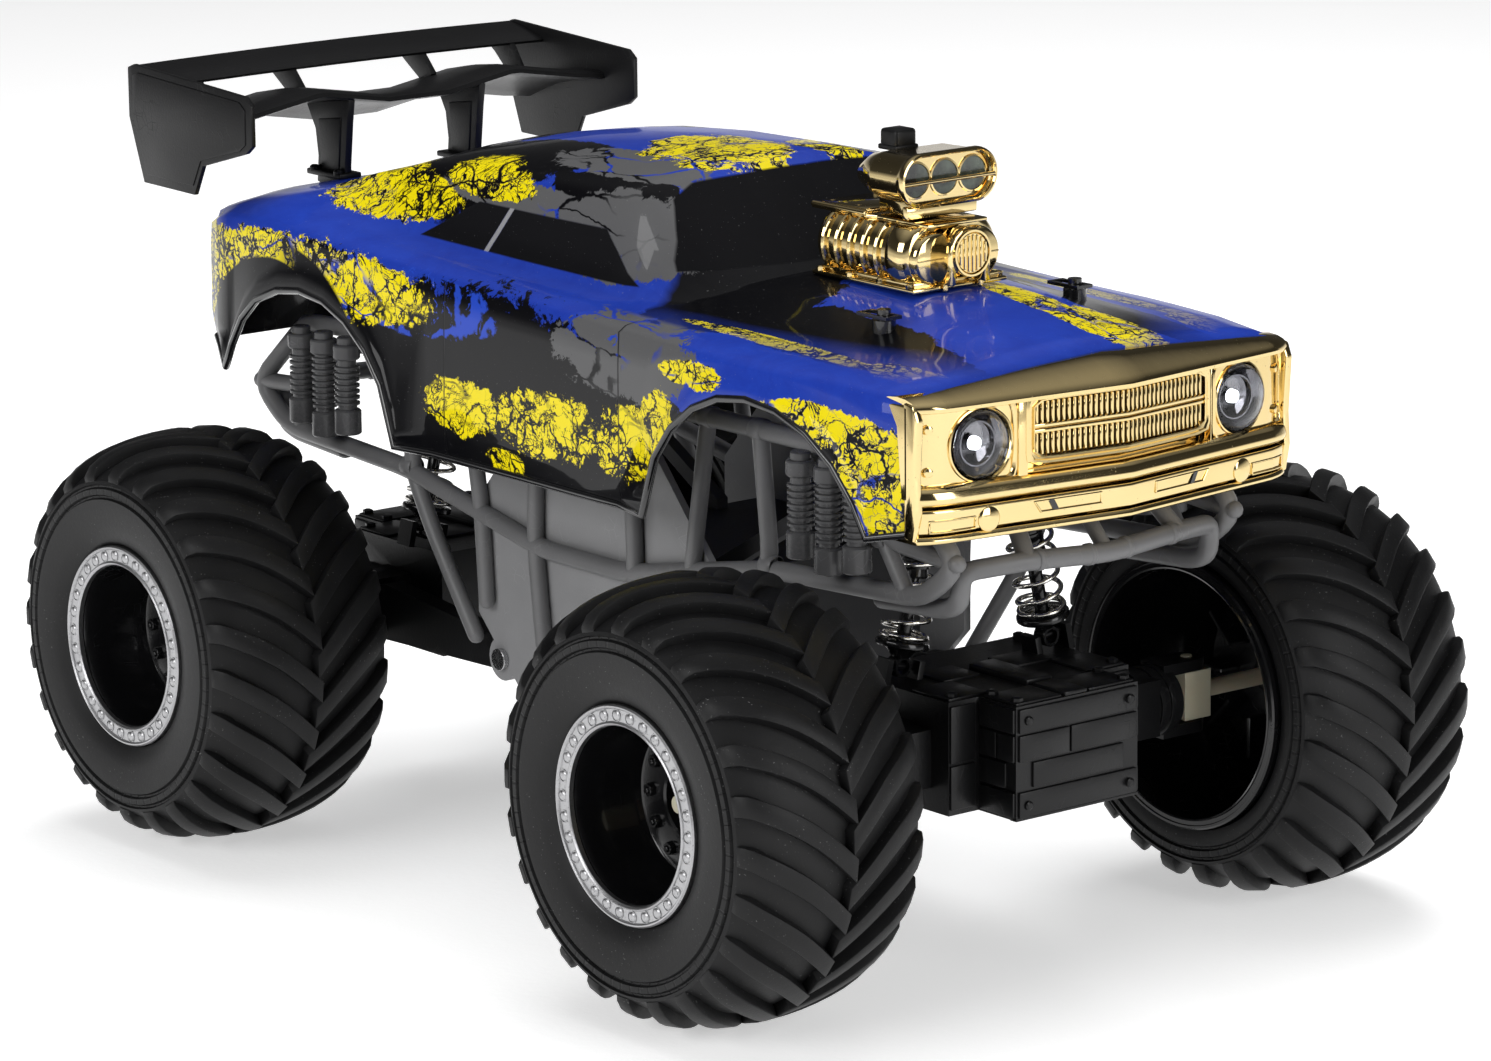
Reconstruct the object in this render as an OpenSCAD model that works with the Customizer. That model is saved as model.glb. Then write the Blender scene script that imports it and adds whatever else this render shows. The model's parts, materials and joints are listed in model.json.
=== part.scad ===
// Radio-controlled monster truck, about 1:10 size.
// +X is forward, +Y is the truck's left, +Z is up, and the tyres stand on z = 0.
// Sizes are in millimetres.

/* [Overall] */
// Distance between the front and rear axles
wheelbase = 298; // [260:1:360]
// Distance between the centres of the two tyres on an axle
track = 246; // [240:1:300]
// Half width of the body at the doors
body_half_w = 88; // [76:1:92]
// Length of the body behind the rear axle
rear_overhang = 56; // [48:1:68]
// Length of the body ahead of the front axle
front_overhang = 51; // [45:1:60]

/* [Wheels] */
// Outside diameter of a tyre
tyre_d = 150; // [125:1:180]
// Width of a tyre at its sidewalls
tyre_w = 76; // [66:1:80]
// Outside radius of the silver bead ring
ring_r = 36.7; // [33:0.1:42]
// Inside radius of the open inner rim
rim_inner_r = 44; // [38:0.5:47]
// Radius of the stub axles that the front wheels turn on
stub_r = 3; // [2:0.1:4]
// Running clearance between a shaft and its hole, on the radius
run_gap = 0.05; // [0.02:0.01:0.1]

/* [Suspension] */
// Length of the arms from their pivot to the axle
arm_len = 95; // [85:1:105]
// Rise of the wheels from rest to the bump stop
bump_travel = 9; // [6:0.5:10]
// Height of the shocks' top pins above the axle
shock_top_h = 90; // [80:1:96]
// Radius of the pins that hold arms and shocks
pin_r = 2; // [1.5:0.1:2.4]
// Largest steering angle each way, in degrees
steer_max = 18; // [10:1:18]
// Length of the steering arms
steer_arm = 22; // [18:1:25]

/* [Frame] */
// Radius of the frame's tubes
tube_r = 3.4; // [2.6:0.1:4]
// Half width of the frame at its tube centres
frame_half_w = 61; // [56:1:62]
// Thickness of the side plates
plate_t = 3; // [2:0.1:3.5]

/* [Body] */
// Wall thickness of the body shell
shell_t = 2; // [1.4:0.1:2.6]
// Height of the sills above the axles
sill_h = 76; // [70:1:84]
// Height of the roof's centre above the axles
roof_h = 187; // [175:1:200]
// Half width of the rear wing
wing_half_w = 89; // [75:1:107]
// Radius of a headlight's opening
lamp_r = 11.4; // [9:0.1:13]

/* [Gears] */
// Gear module, which is pitch diameter over teeth
gear_mod = 0.8; // [0.7:0.05:0.85]
// Teeth on the motor pinion and on the idler's small gear
pinion_teeth = 10; // [10:1:12]
// Teeth on the idler's large gear
idler_teeth = 28; // [24:1:30]
// Teeth on the rear axle's gear
axle_teeth = 34; // [30:1:36]
// Width of a gear's teeth
gear_w = 5; // [4:0.5:6]

/* [Hidden] */
$fn = 48;
wb2 = wheelbase / 2;
tyre_r = tyre_d / 2;
axle_z = tyre_r;
wheel_y = track / 2;
face_y = wheel_y + tyre_w / 2 - 4;        // outer face of the bead ring
inner_y = wheel_y - tyre_w / 2;           // inner sidewall of a tyre
hub_depth = 26;                           // from the ring's face in to the hub disc
hub_y = face_y - hub_depth;
hub_t = 5;
bead_r = rim_inner_r + 3.6;               // where the tyre's inner bead sits
barrel_r = ring_r - 7;                    // the dish that shows from outside
king_y = inner_y + 2;                     // kingpins stand just inside the wheels
pivot_x = wb2 - arm_len;                  // arm pivots, either side of the middle
pivot_z = axle_z - 3;
wing_rear = wb2 + 94;
x_mid = (wing_rear - wb2 - tyre_r) / 2;   // moves the middle of the outline to x = 0
frame_z = axle_z + 43;                    // the frame's waist tube
rail_z = axle_z + 106;                    // the frame's top rails
arch_x = wb2 - 20;                        // middle of a wheel arch
arch_a = 57;                              // half length of a wheel arch
arch_z = axle_z + 70;
arch_b = 54.5;
box_half_w = 40;                          // axle housing, centre section
box_fore = 41;                            // housing ahead of the axle
box_aft = 33;
box_low = -17;
box_high = 22;
wall = 2;
shock_x = wb2 - 12;
shock_top_y = 19;
shock_low_y = 33;
shock_low_h = 27;                         // lower shock pins above the axle
shock_body_r = 5;
spring_r = 8.6;
spring_wire = 0.7;
slack = 0.3;                              // gap between parts that only pass each other
shock_dz = shock_top_h - shock_low_h;
shock_dy = shock_low_y - shock_top_y;
shock_len = sqrt(shock_dz * shock_dz + shock_dy * shock_dy);
shock_lean = atan2(shock_dy, shock_dz);
ends = [1, -1];                           // front, rear
sides = [-1, 1];                          // right, left

// ---------- helpers ----------

module placed() translate([x_mid, 0, 0]) children();

// A round bar along Y from y0 to y1.
module bar_y(r, y0, y1) translate([0, y0, 0]) rotate([-90, 0, 0]) cylinder(r = r, h = y1 - y0);

// A capsule between two points.
module strut(a, b, r = tube_r) hull() {
    translate(a) sphere(r, $fn = 12);
    translate(b) sphere(r, $fn = 12);
}

// Capsules along a list of points.
module run(points, r = tube_r)
    for (i = [0 : len(points) - 2]) strut(points[i], points[i + 1], r);

// A plate in the X-Z plane, grown from y0 towards +Y.
module plate_xz(points, y0, t) translate([0, y0 + t, 0]) rotate([90, 0, 0])
    linear_extrude(t) polygon(points);

module round_box(size, r) linear_extrude(size[2]) offset(r) square([size[0] - 2 * r, size[1] - 2 * r], center = true);

// ---------- body shell ----------

// Each row is one key section, from tail to nose:
// x, shoulder y and z, glass base y and z, roof edge y and z, centre z, forward bow of the centre.
// Heights are above the axle.
body_rows = [
    [-wb2 - rear_overhang, -10, 140, -18, 144, -38, 147, 148, 0],
    [-wb2 - 40, -4, 145, -17, 149, -36, 151, 152, 0],
    [-wb2 - 8, 0, 147.5, -17, 154, -34, 156, 154, 0],
    [-wb2 + 20, 0, 146.5, -18, 151, -33, 164, 165, 0],
    [-wb2 + 50, 0, 144.5, -19, 148, -31, roof_h - 18, roof_h - 11, 0],
    [-wb2 + 90, 0, 142.5, -19, 146, -29, roof_h - 15, roof_h - 4.5, 0],
    [-18, 0, 141, -19, 144.5, -28, roof_h - 14, roof_h - 1, 4],
    [12, 0, 140, -19.5, 143, -28.5, roof_h - 13.5, roof_h, 18],
    [22, 0, 139.5, -20, 142.5, -30, roof_h - 14, roof_h - 0.5, 24],
    [28, 0, 139, -25, 141, -40, 146, 151.5, 46],
    [38, 0, 138.5, -25.5, 140.8, -44, 147, 152, 40],
    [54, 0, 138, -26, 140.5, -48, 147, 151.8, 28],
    [wb2 - 60, 0, 137, -26, 140.5, -50, 147, 151.5, 10],
    [wb2 - 14, 0, 136.5, -27, 139.5, -52, 145.5, 150.5, 3],
    [wb2 + 20, -3, 136, -27, 138.5, -54, 142.5, 146, 0],
    [wb2 + front_overhang, -7, 134, -28, 136.5, -56, 138.5, 140, 0]
];
function row_at(x, k) = lookup(x, [for (r = body_rows) [r[0], r[k]]]);

// Lower edge of the body: sill, raised ends and the two elliptical arches.
function arch_edge(x, c) = let (u = (x - c) / arch_a) abs(u) < 1 ? arch_z + arch_b * sqrt(1 - u * u) : 0;
function plain_edge(x) = axle_z + lookup(x, [
    [-wb2 - rear_overhang, 95], [-arch_x - arch_a, 91],
    [-arch_x - arch_a + 10, sill_h], [arch_x + arch_a - 10, sill_h],
    [arch_x + arch_a, 89], [wb2 + front_overhang, 90]]);
function low_edge(x) = max(plain_edge(x), arch_edge(x, arch_x), arch_edge(x, -arch_x));
// How far the arch lips stand out from the side.
function flare(x) = let (u = min(abs(abs(x) - arch_x) / arch_a, 1.25)) u < 1 ? 4 : 4 * (1.25 - u) / 0.25;

// Half section at x, from the lower edge to the centre line, as [bow share, y, z].
function half_section(x) = let (
        s = body_half_w + row_at(x, 1), zs = axle_z + row_at(x, 2),
        g = body_half_w + row_at(x, 3), zg = axle_z + row_at(x, 4),
        e = body_half_w + row_at(x, 5), ze = axle_z + row_at(x, 6),
        zc = axle_z + row_at(x, 7), zl = low_edge(x), f = flare(x), d = zs - zl)
    [[s - 1 + f, zl], [s - 0.5 + f, zl + min(3, d * 0.2)], [s + 0.4 + f * 0.5, zl + min(7, d * 0.4)],
     [s + 0.9, zl + min(11, d * 0.55)], [s + 0.6, zl + d * 0.8], [s, zs - 1.5], [s - 3, zs + 0.4],
     [(s + g) / 2, (zs + zg) / 2 + 0.6], [g, zg], [(g * 2 + e) / 3, (zg * 2 + ze) / 3],
     [(g + e * 2) / 3, (zg + ze * 2) / 3], [e, ze], [e - 5, ze + (zc - ze) * 0.35],
     [e * 0.45, ze + (zc - ze) * 0.85], [0, zc]];
n_half = 15;
function full_section(x) = let (h = half_section(x))
    concat([for (p = h) [-p[0], p[1]]], [for (i = [n_half - 2 : -1 : 0]) h[i]]);

// The inward normal of an open outline at point i.
function inward(o, i) = let (a = o[max(i - 1, 0)], b = o[min(i + 1, len(o) - 1)], d = b - a)
    [d[1], -d[0]] / max(norm(d), 0.001);
function inner_section(x) = let (o = full_section(x))
    [for (i = [0 : len(o) - 1]) let (m = inward(o, i), edge = i == 0 || i == len(o) - 1)
        edge ? [o[i][0] + sign(-o[i][0]) * shell_t, o[i][1]] : o[i] + m * shell_t];
function bow_at(x, y) = row_at(x, 8) * max(0, 1 - pow(y / body_half_w, 2));

// Stations crowd together around the arches, where the lower edge turns quickly.
arch_steps = [for (a = [180 : -15 : 0]) cos(a)];
stations = concat(
    [-wb2 - rear_overhang, -wb2 - rear_overhang + 9],
    [for (c = arch_steps) -arch_x + arch_a * c],
    [-arch_x + arch_a + 18, -36, -18, 0, 12, 22, 28, 38, 54],
    [for (c = arch_steps) arch_x + arch_a * c],
    [wb2 + front_overhang]);
shell_loop = [for (x = stations) let (o = full_section(x), q = inner_section(x))
    concat([for (p = o) [x + bow_at(x, p[0]), p[0], p[1]]],
        [for (i = [len(q) - 1 : -1 : 0]) [x + bow_at(x, q[i][0]), q[i][0], q[i][1]]])];

// A skin over a list of closed loops that all have the same number of points.
module skin(loops) {
    m = len(loops[0]);
    n = len(loops);
    half = m / 2;
    side = [for (i = [0 : n - 2]) for (j = [0 : m - 1]) let (k = (j + 1) % m)
        [i * m + j, i * m + k, (i + 1) * m + k, (i + 1) * m + j]];
    tris = [for (f = side) each [[f[0], f[1], f[2]], [f[0], f[2], f[3]]]];
    // The end faces are strips between the outer and the inner outline.
    cap = [for (j = [0 : half - 2]) each [[j, m - 1 - j, m - 2 - j], [j, m - 2 - j, j + 1]]];
    far = [for (t = cap) [for (k = [2, 1, 0]) t[k] + (n - 1) * m]];
    polyhedron(points = [for (l = loops) each l], faces = [for (t = concat(tris, cap, far)) [t[2], t[1], t[0]]]);
}

module body_shell() color("royalblue") skin(shell_loop);

tail_x = -wb2 - rear_overhang;
tail_grip = 0.4;                          // how far the tail panel bites into the shell
module tail_panel() color("black") {
    q = [for (p = inner_section(tail_x)) p + [sign(p[0]) * tail_grip, 0]];
    difference() {
        translate([tail_x + 1, 0, 0]) rotate([90, 0, 90]) linear_extrude(2.4) polygon(q);
        // Two recesses that hold the tail lights.
        for (s = sides) translate([tail_x + 0.9, s * 40 - 22, axle_z + 112]) cube([1, 44, 13]);
    }
}

// ---------- nose ----------

nose_x = wb2 + front_overhang;
nose_w = body_half_w - 7;                 // half width of the fascia
nose_v = 10;                              // how far the middle stands ahead of the corners
nose_top = axle_z + 133.5;
nose_low = axle_z + 87;
lamp_y = 56.5;
lamp_z = axle_z + 117.5;
lamp_x = nose_x + 7;

// Outline of the fascia seen from above, as deep as d behind its front edge.
function nose_plan(front, grow = 0) = [[nose_x, -nose_w - grow], [nose_x + front - nose_v, -nose_w - grow],
    [nose_x + front, 0], [nose_x + front - nose_v, nose_w + grow], [nose_x, nose_w + grow]];

module nose_slab(z, h, front, grow = 0) translate([0, 0, z]) linear_extrude(h) polygon(nose_plan(front, grow));

module front_fascia() color("gold") difference() {
    union() {
        nose_slab(nose_low + 14, nose_top - nose_low - 14, 14);
        nose_slab(nose_top - 5, 5, 17, 1);
        nose_slab(nose_low + 12, 4, 17.5, 1);
        nose_slab(nose_low, 13, 16);
        for (s = sides) translate([nose_x + 3, s * 62, nose_low + 6]) bar_x(5, 5);
    }
    // The shell is open behind.
    translate([-2.4, 0, nose_low - 1]) linear_extrude(nose_top - nose_low - 2) offset(-2.4) polygon(nose_plan(13));
    translate([nose_x - 1, -nose_w + 3, nose_low - 1]) cube([4, 2 * nose_w - 6, nose_top - nose_low - 3]);
    for (s = sides) translate([nose_x, s * lamp_y, lamp_z]) rotate([0, 90, 0]) cylinder(r = lamp_r + slack, h = 30);
    // Grille slots.
    for (i = [-11 : 11]) if (abs(i) > 0) for (z = [0, 8.2])
        translate([nose_x + 2, i * 3 - 0.9, axle_z + 111 + z]) cube([20, 1.8, 6.6]);
}
module bar_x(r, h) rotate([0, 90, 0]) cylinder(r = r, h = h);

module headlight_reflectors() color("silver") for (s = sides) translate([nose_x + 0.4, s * lamp_y, lamp_z])
    rotate([0, 90, 0]) difference() {
        cylinder(r = lamp_r + slack, h = 6.1);
        translate([0, 0, 1.5]) cylinder(r1 = 4, r2 = lamp_r - 1.4, h = 4.6);
    }

module headlight_lenses() color("lavender") for (s = sides) translate([nose_x + 6.5, s * lamp_y, lamp_z])
    rotate([0, 90, 0]) rotate_extrude() intersection() {
        translate([0, -19.6]) circle(r = 24.4);
        square([lamp_r + slack, 6]);
    }

// ---------- blower on the bonnet ----------

blower_x = wb2 - 45;                      // middle of the case
blower_z = axle_z + 151;
module blower_case() color("gold") translate([blower_x, 0, blower_z]) {
    // Case with its rounded flanks and cooling ribs.
    translate([-26, 0, 11]) rotate([0, 90, 0]) {
        intersection() {
            union() {
                for (s = sides) translate([0, s * 8, 0]) cylinder(r = 12.2, h = 50);
                translate([-12.2, -8, 0]) cube([24.4, 16, 50]);
                for (i = [0 : 4]) for (s = sides) translate([0, s * 8, 2 + i * 9]) cylinder(r = 13.4, h = 2.4);
            }
            translate([-12, -24, 0]) cube([22, 48, 50]);
        }
    }
    translate([-27, -21, 0]) cube([54, 42, 3.4]);
    // Top plate, which carries the scoop.
    translate([-34, -15, 21.4]) cube([60, 30, 2.6]);
}

module blower_pulley() color("gold") translate([blower_x + 24, 0, blower_z + 12.5]) {
    rotate([0, 90, 0]) cylinder(r = 9, h = 8);
    translate([8, 0, 0]) rotate([0, 90, 0]) intersection() {
        union() {
            cylinder(r = 7, h = 12);
            translate([0, -7, 0]) cube([11.6, 14, 12]);
        }
        translate([-8, -8, 0]) cube([19.6, 16, 12]);
    }
}

scoop_z = blower_z + 24;
module air_scoop() color("gold") translate([blower_x, 0, scoop_z]) difference() {
    union() {
        translate([-8, -12, 0]) cube([26, 24, 4]);
        hull() for (s = sides) translate([-14, s * 12, 13]) rotate([0, 90, 0]) cylinder(r = 9.5, h = 36, $fn = 32);
        translate([-10, -5, 21]) cube([9, 10, 6]);
        translate([-20, 0, 12]) hull() for (s = sides) translate([0, s * 9, 0]) rotate([0, 90, 0])
            cylinder(r = 7, h = 8, $fn = 32);
    }
    // Three throats that face forward.
    for (s = [-1, 0, 1]) translate([8, s * 12.4, 13]) rotate([0, 90, 0]) cylinder(r = 5.2, h = 20);
}

// ---------- rear wing ----------

wing_z = axle_z + 151;
module wing_blades() color("black") {
    // Lower blade, upper blade, four short struts and two tall pillars.
    plate_xz([[-wing_rear + 14, wing_z + 17], [-wing_rear + 18, wing_z + 24], [-wing_rear + 62, wing_z + 31],
        [-wing_rear + 64, wing_z + 28], [-wing_rear + 20, wing_z + 18]], -wing_half_w + 2.4, 2 * wing_half_w - 4.8);
    plate_xz([[-wing_rear + 1, wing_z + 41], [-wing_rear + 2, wing_z + 43.5], [-wing_rear + 24, wing_z + 39],
        [-wing_rear + 24, wing_z + 37]], -wing_half_w + 2.4, 2 * wing_half_w - 4.8);
    for (y = [-72, -30, 30, 72] * wing_half_w / 89)
        plate_xz([[-wing_rear + 8, wing_z + 41], [-wing_rear + 24, wing_z + 38], [-wing_rear + 34, wing_z + 25],
            [-wing_rear + 24, wing_z + 23]], y - 1.2, 2.4);
    for (s = sides) plate_xz([[-wing_rear + 40, wing_z + 26], [-wing_rear + 60, wing_z + 29],
        [-wing_rear + 58, wing_z - 6], [-wing_rear + 40, wing_z - 2]], s * 30 - 1.5, 3);
    for (s = sides) translate([-wing_rear + 38, s * 30 - 5, wing_z + 1]) cube([22, 10, 2.4]);
}

module wing_end_plates() color("black") for (s = sides)
    plate_xz([[-wing_rear, wing_z + 42.5], [-wing_rear, wing_z + 24], [-wing_rear + 9, wing_z],
        [-wing_rear + 43, wing_z - 0.5], [-wing_rear + 49, wing_z + 11], [-wing_rear + 78, wing_z + 19],
        [-wing_rear + 82, wing_z + 22], [-wing_rear + 82, wing_z + 37], [-wing_rear + 78, wing_z + 40],
        [-wing_rear + 4, wing_z + 44]], s > 0 ? wing_half_w - 2.4 : -wing_half_w, 2.4);

// ---------- frame ----------

// One side of the tube frame, drawn for the left and mirrored for the right.
fx = wb2;
// The long rails and the loop around each end.
rails = [
    for (e = ends) [[0, rail_z], [e * (fx - 22), rail_z], [e * (fx + 20), rail_z - 2], [e * (fx + 52), axle_z + 77],
        [e * (fx + 34), axle_z + 63], [e * (fx - 42), axle_z + 59], [e * (fx - 125), frame_z], [0, frame_z]]];
// Braces, each with its share of the rails' radius.
function braces(e) = [
    [0.93, [[fx + 52, axle_z + 77], [fx + 14, axle_z + 80], [fx + 22, rail_z - 2]]],
    [0.86, [[fx + 14, axle_z + 80], [fx + 26, axle_z + 62]]],
    [0.9, [[fx - 50, rail_z], [fx - 45, axle_z + 60], [fx - 58, axle_z + 38], [pivot_x + 12, axle_z + 4]]],
    [0.88, [[fx - 78, rail_z], [fx - 88, frame_z + 8], [fx - 90, axle_z + 18]]],
    [0.92, [[fx - 122, rail_z], [fx - 120, frame_z + 1], [fx - 124, axle_z + 8]]]
];
module side_frame() color("dimgray") {
    for (e = [0, 1]) run([for (p = rails[e]) [p[0], frame_half_w + e * 0.02, p[1]]], tube_r - e * 0.03);
    for (e = ends) for (b = braces(e))
        run([for (p = b[1]) [e * p[0], frame_half_w, p[1]]], tube_r * b[0] - 0.01 * e);
}

module side_frame_left() side_frame();
module side_frame_right() mirror([0, 1, 0]) side_frame();

// Grey panel inside the tubes, with a rounded ear at each arm pivot.
grip = 0.6;                               // how far clipped-together pieces bite
plate_y = frame_half_w - tube_r + grip - plate_t;
module side_plate_left() color("gray") difference() {
    union() {
        plate_xz([for (e = ends) each (e > 0 ?
                [[pivot_x + 14, frame_z + 10], [pivot_x + 14, axle_z + 12], [pivot_x - 12, axle_z - 14]] :
                [[-pivot_x + 12, axle_z - 14], [-pivot_x - 14, axle_z + 12], [-pivot_x - 14, frame_z + 10],
                    [-wb2 + 122, rail_z - 8], [wb2 - 122, rail_z - 8]])], plate_y, plate_t);
        for (e = ends) translate([e * pivot_x, 0, pivot_z]) bar_y(8, plate_y, plate_y + plate_t);
    }
    for (e = ends) translate([e * pivot_x, 0, pivot_z]) bar_y(pin_r, plate_y - 1, plate_y + plate_t + 1);
    for (e = ends) translate([e * (wb2 - 122), 0, frame_z + 1]) bar_y(1.6, plate_y - 1, plate_y + plate_t + 1);
}
module side_plate_right() mirror([0, 1, 0]) side_plate_left();

// Bumper tubes below the fascia, and their copy at the tail.
bump_x = wb2 + 56;
bump_z = axle_z + 73;
loop_y = frame_half_w - 2 * tube_r + grip;
module end_hoop(e) {
    for (s = sides) {
        run([[e * bump_x, 0, bump_z], [e * (bump_x - 2), s * 33, bump_z + 2], [e * (bump_x - 10), s * loop_y, bump_z]]);
        run([[e * (bump_x - 10), s * loop_y, bump_z], [e * (bump_x - 11), s * loop_y, bump_z - 11],
            [e * (bump_x - 19), s * loop_y, bump_z - 14], [e * (wb2 + 6), s * loop_y, bump_z - 16]], tube_r * 0.96);
        run([[e * (bump_x - 2), s * 33, bump_z + 2], [e * (bump_x - 18), s * 28, bump_z + 18]], tube_r * 0.9);
    }
    run([[e * (bump_x - 18), -28, bump_z + 18], [e * (bump_x - 18), 28, bump_z + 18]]);
}
module front_bumper() color("gray") end_hoop(1);
module rear_hoop() color("gray") end_hoop(-1);

// Towers and beams that tie the two sides together and carry the shocks' top pins.
tower_in = frame_half_w - tube_r + grip;
tower_low = axle_z + shock_top_h + 6;
tower_t = 8;
tub_x = pivot_x - 10;                     // half length of the tub
tub_low = axle_z - 14;
tub_h = 56;
post_y = 42;
post_x = shock_x + 4;
// Height of the shell's outer skin at x, y.
function skin_z(x, y) = lookup(y, [for (p = half_section(x)) if (p[1] > axle_z + 130) p]);
module cross_members() color("dimgray") {
    for (e = ends) {
        difference() {
            translate([e * shock_x - 7, -tower_in, tower_low]) cube([14, 2 * tower_in, tower_t]);
            translate([e * shock_x, 0, tower_low - 1]) cylinder(r = 3, h = tower_t + 2);
        }
        for (s = sides) {
            // Ears and pin for each shock's top eye.
            shock_at(e, s) {
                for (k = [-1, 1]) translate([-4, k * 7.2 - 1.5, -4]) cube([8, 3, 12]);
                bar_y(pin_r - run_gap, -8, 8);
            }
            // Leg down to the tub, and a post under the shell.
            hull() {
                translate([e * (shock_x - 4), s * 30, tower_low + 1]) cube([5, 5, 2], center = true);
                translate([e * (tub_x - 4), s * 30, tub_low + tub_h + 2]) cube([5, 5, 4], center = true);
            }
            translate([e * post_x, s * post_y, tower_low + tower_t - 0.1])
                cylinder(r = 2.2, h = skin_z(e * post_x, post_y) - shell_t - 1 - tower_low - tower_t);
        }
    }
}

// ---------- tub, battery and electronics ----------

tub_w = plate_y;                          // half width of the tub
door_x = tub_x - 10;
door_w = 30;
pack_d = 14.5;                            // one cell
pack_l = 50;
module battery_box() color("dimgray") difference() {
    translate([-tub_x, -tub_w, tub_low]) cube([2 * tub_x, 2 * tub_w, tub_h]);
    translate([-tub_x + wall, -tub_w + wall, tub_low + 3]) cube([2 * tub_x - 2 * wall, 2 * tub_w - 2 * wall, tub_h - 5]);
    // Doorway in the floor, and the switch's slot beside it.
    translate([-door_x, -door_w, tub_low - 1]) cube([2 * door_x, 2 * door_w, 5]);
    translate([-6, door_w + 8, tub_low - 1]) cube([12, 5, 5]);
}

module battery_door() color("black") {
    translate([-door_x + slack, -door_w + slack, tub_low]) cube([2 * (door_x - slack), 2 * (door_w - slack), 2.4]);
    for (i = [-3 : 3]) translate([-14, i * 6 - 1, tub_low - 0.8]) cube([28, 2, 0.9]);
}

module battery_pack() color("green") for (i = [-2 : 1])
    translate([(i + 0.5) * pack_d, -pack_l / 2, tub_low + 11]) rotate([-90, 0, 0]) cylinder(r = pack_d / 2 - 0.05, h = pack_l);

board_z = tub_low + 26;
module circuit_board() color("darkgreen") {
    difference() {
        translate([-30, -38, board_z]) cube([60, 76, 1.6]);
        for (e = ends) for (s = sides) translate([e * 26, s * 34, board_z - 1]) cylinder(r = 1.6, h = 4);
    }
    translate([-12, -12, board_z + 1.5]) cube([20, 20, 2.6]);
    for (i = [0 : 3]) translate([14 + (i % 2) * 9, -24 + floor(i / 2) * 12, board_z + 1.5]) cylinder(r = 3.2, h = 8);
    translate([-26, 14, board_z + 1.5]) cube([10, 14, 6]);
    for (e = ends) for (s = sides) translate([e * 26, s * 34, tub_low + 2.9]) difference() {
        cylinder(r = 3, h = board_z - tub_low - 2.9);
        translate([0, 0, -1]) cylinder(r = 1.6, h = 40);
    }
}

module power_switch() color("black") translate([0, door_w + 10.5, 0]) {
    translate([-3.5, -2.2, tub_low - 1.6]) cube([5, 4.4, 7]);
    translate([-7.5, -4, tub_low + 3.2]) cube([14, 8, 3]);
}

// ---------- trim shocks, clips and screws ----------

trim_y = frame_half_w + tube_r + 6 - grip;
trim_low = axle_z + 66;
trim_z = rail_z - 1;
module trim_shock(z0, z1) {
    mid = (z0 + z1) / 2;
    translate([0, 0, z0]) cylinder(r = 5, h = z1 - z0);
    translate([0, 0, z0]) cylinder(r = 6, h = 7);
    translate([0, 0, mid + 2]) cylinder(r = 5.8, h = 8);
}
module dummy_shocks() color("dimgray") for (e = ends) for (s = sides) {
    for (i = [0 : 2]) translate([e * (wb2 - 18 + i * 14.5), s * trim_y, 0])
        trim_shock(trim_low + abs(i - 1) * 3, trim_z);
}

module body_clips() color("black") for (s = sides) translate([post_x, s * post_y, skin_z(post_x, post_y) - 1]) {
    cylinder(r = 4, h = 4.5);
    translate([0, 0, 4]) cylinder(r = 2.4, h = 4);
    // The spring clip's two legs and its loop.
    for (k = [-1, 1]) translate([-9, k * 2.9 - 0.6, 5]) cube([14, 1.2, 1.2]);
    translate([-10.2, -3.5, 5]) cube([1.3, 7, 1.2]);
    translate([3.8, -3.5, 5]) cube([1.3, 7, 1.2]);
}

module chassis_screws() color("silver") for (s = sides) for (e = ends)
    translate([e * pivot_x, s * plate_y, pivot_z]) mirror([0, s > 0 ? 0 : 1, 0]) {
        bar_y(pin_r - 0.01, -9, plate_t + 1);
        bar_y(4, plate_t + 0.05, plate_t + 2.2);
    }

// ---------- axle housings ----------

// Hollow centre section with a narrower nose, tubes out to the wheels, and two arms.
nose_in = 27;                             // half width of the nose
nose_from = 22;                           // where it starts, ahead of the axle
arm_t = 8;
arm_in = plate_y - slack - arm_t;         // inner face of an arm
module housing_shell(e) mirror([e > 0 ? 0 : 1, 0, 0]) difference() {
    union() {
        translate([wb2 - box_aft, -box_half_w, axle_z + box_low])
            cube([box_aft + nose_from, 2 * box_half_w, box_high - box_low]);
        translate([wb2, -nose_in, axle_z + box_low]) cube([box_fore, 2 * nose_in, box_high - box_low]);
        translate([wb2, 0, axle_z]) bar_y(12, -king_y + 12, king_y - 12);
        translate([wb2 - 13, -king_y + 24, axle_z - 9]) cube([26, 2 * king_y - 48, 20]);
        for (s = sides) translate([0, s > 0 ? arm_in : -arm_in - arm_t, 0]) {
            plate_xz([[pivot_x, pivot_z - 5.5], [pivot_x, pivot_z + 5.5], [wb2 - 18, axle_z + 10],
                [wb2 + 4, axle_z + 6], [wb2 + 4, axle_z - 8], [wb2 - 18, axle_z - 11]], 0, arm_t);
            translate([pivot_x, 0, pivot_z]) bar_y(5.5, 0, arm_t);
        }
    }
    translate([wb2 - box_aft + wall, -box_half_w + wall, axle_z + box_low + wall])
        cube([box_aft + nose_from - 2 * wall, 2 * (box_half_w - wall), box_high - box_low - 2 * wall]);
    translate([wb2, -nose_in + wall, axle_z + box_low + wall])
        cube([box_fore - wall, 2 * (nose_in - wall), box_high - box_low - 2 * wall]);
    for (s = sides) translate([pivot_x, 0, pivot_z])
        bar_y(pin_r + run_gap, s > 0 ? arm_in - 4 : -plate_y - 1, s > 0 ? plate_y + 1 : -arm_in + 4);
}

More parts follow.
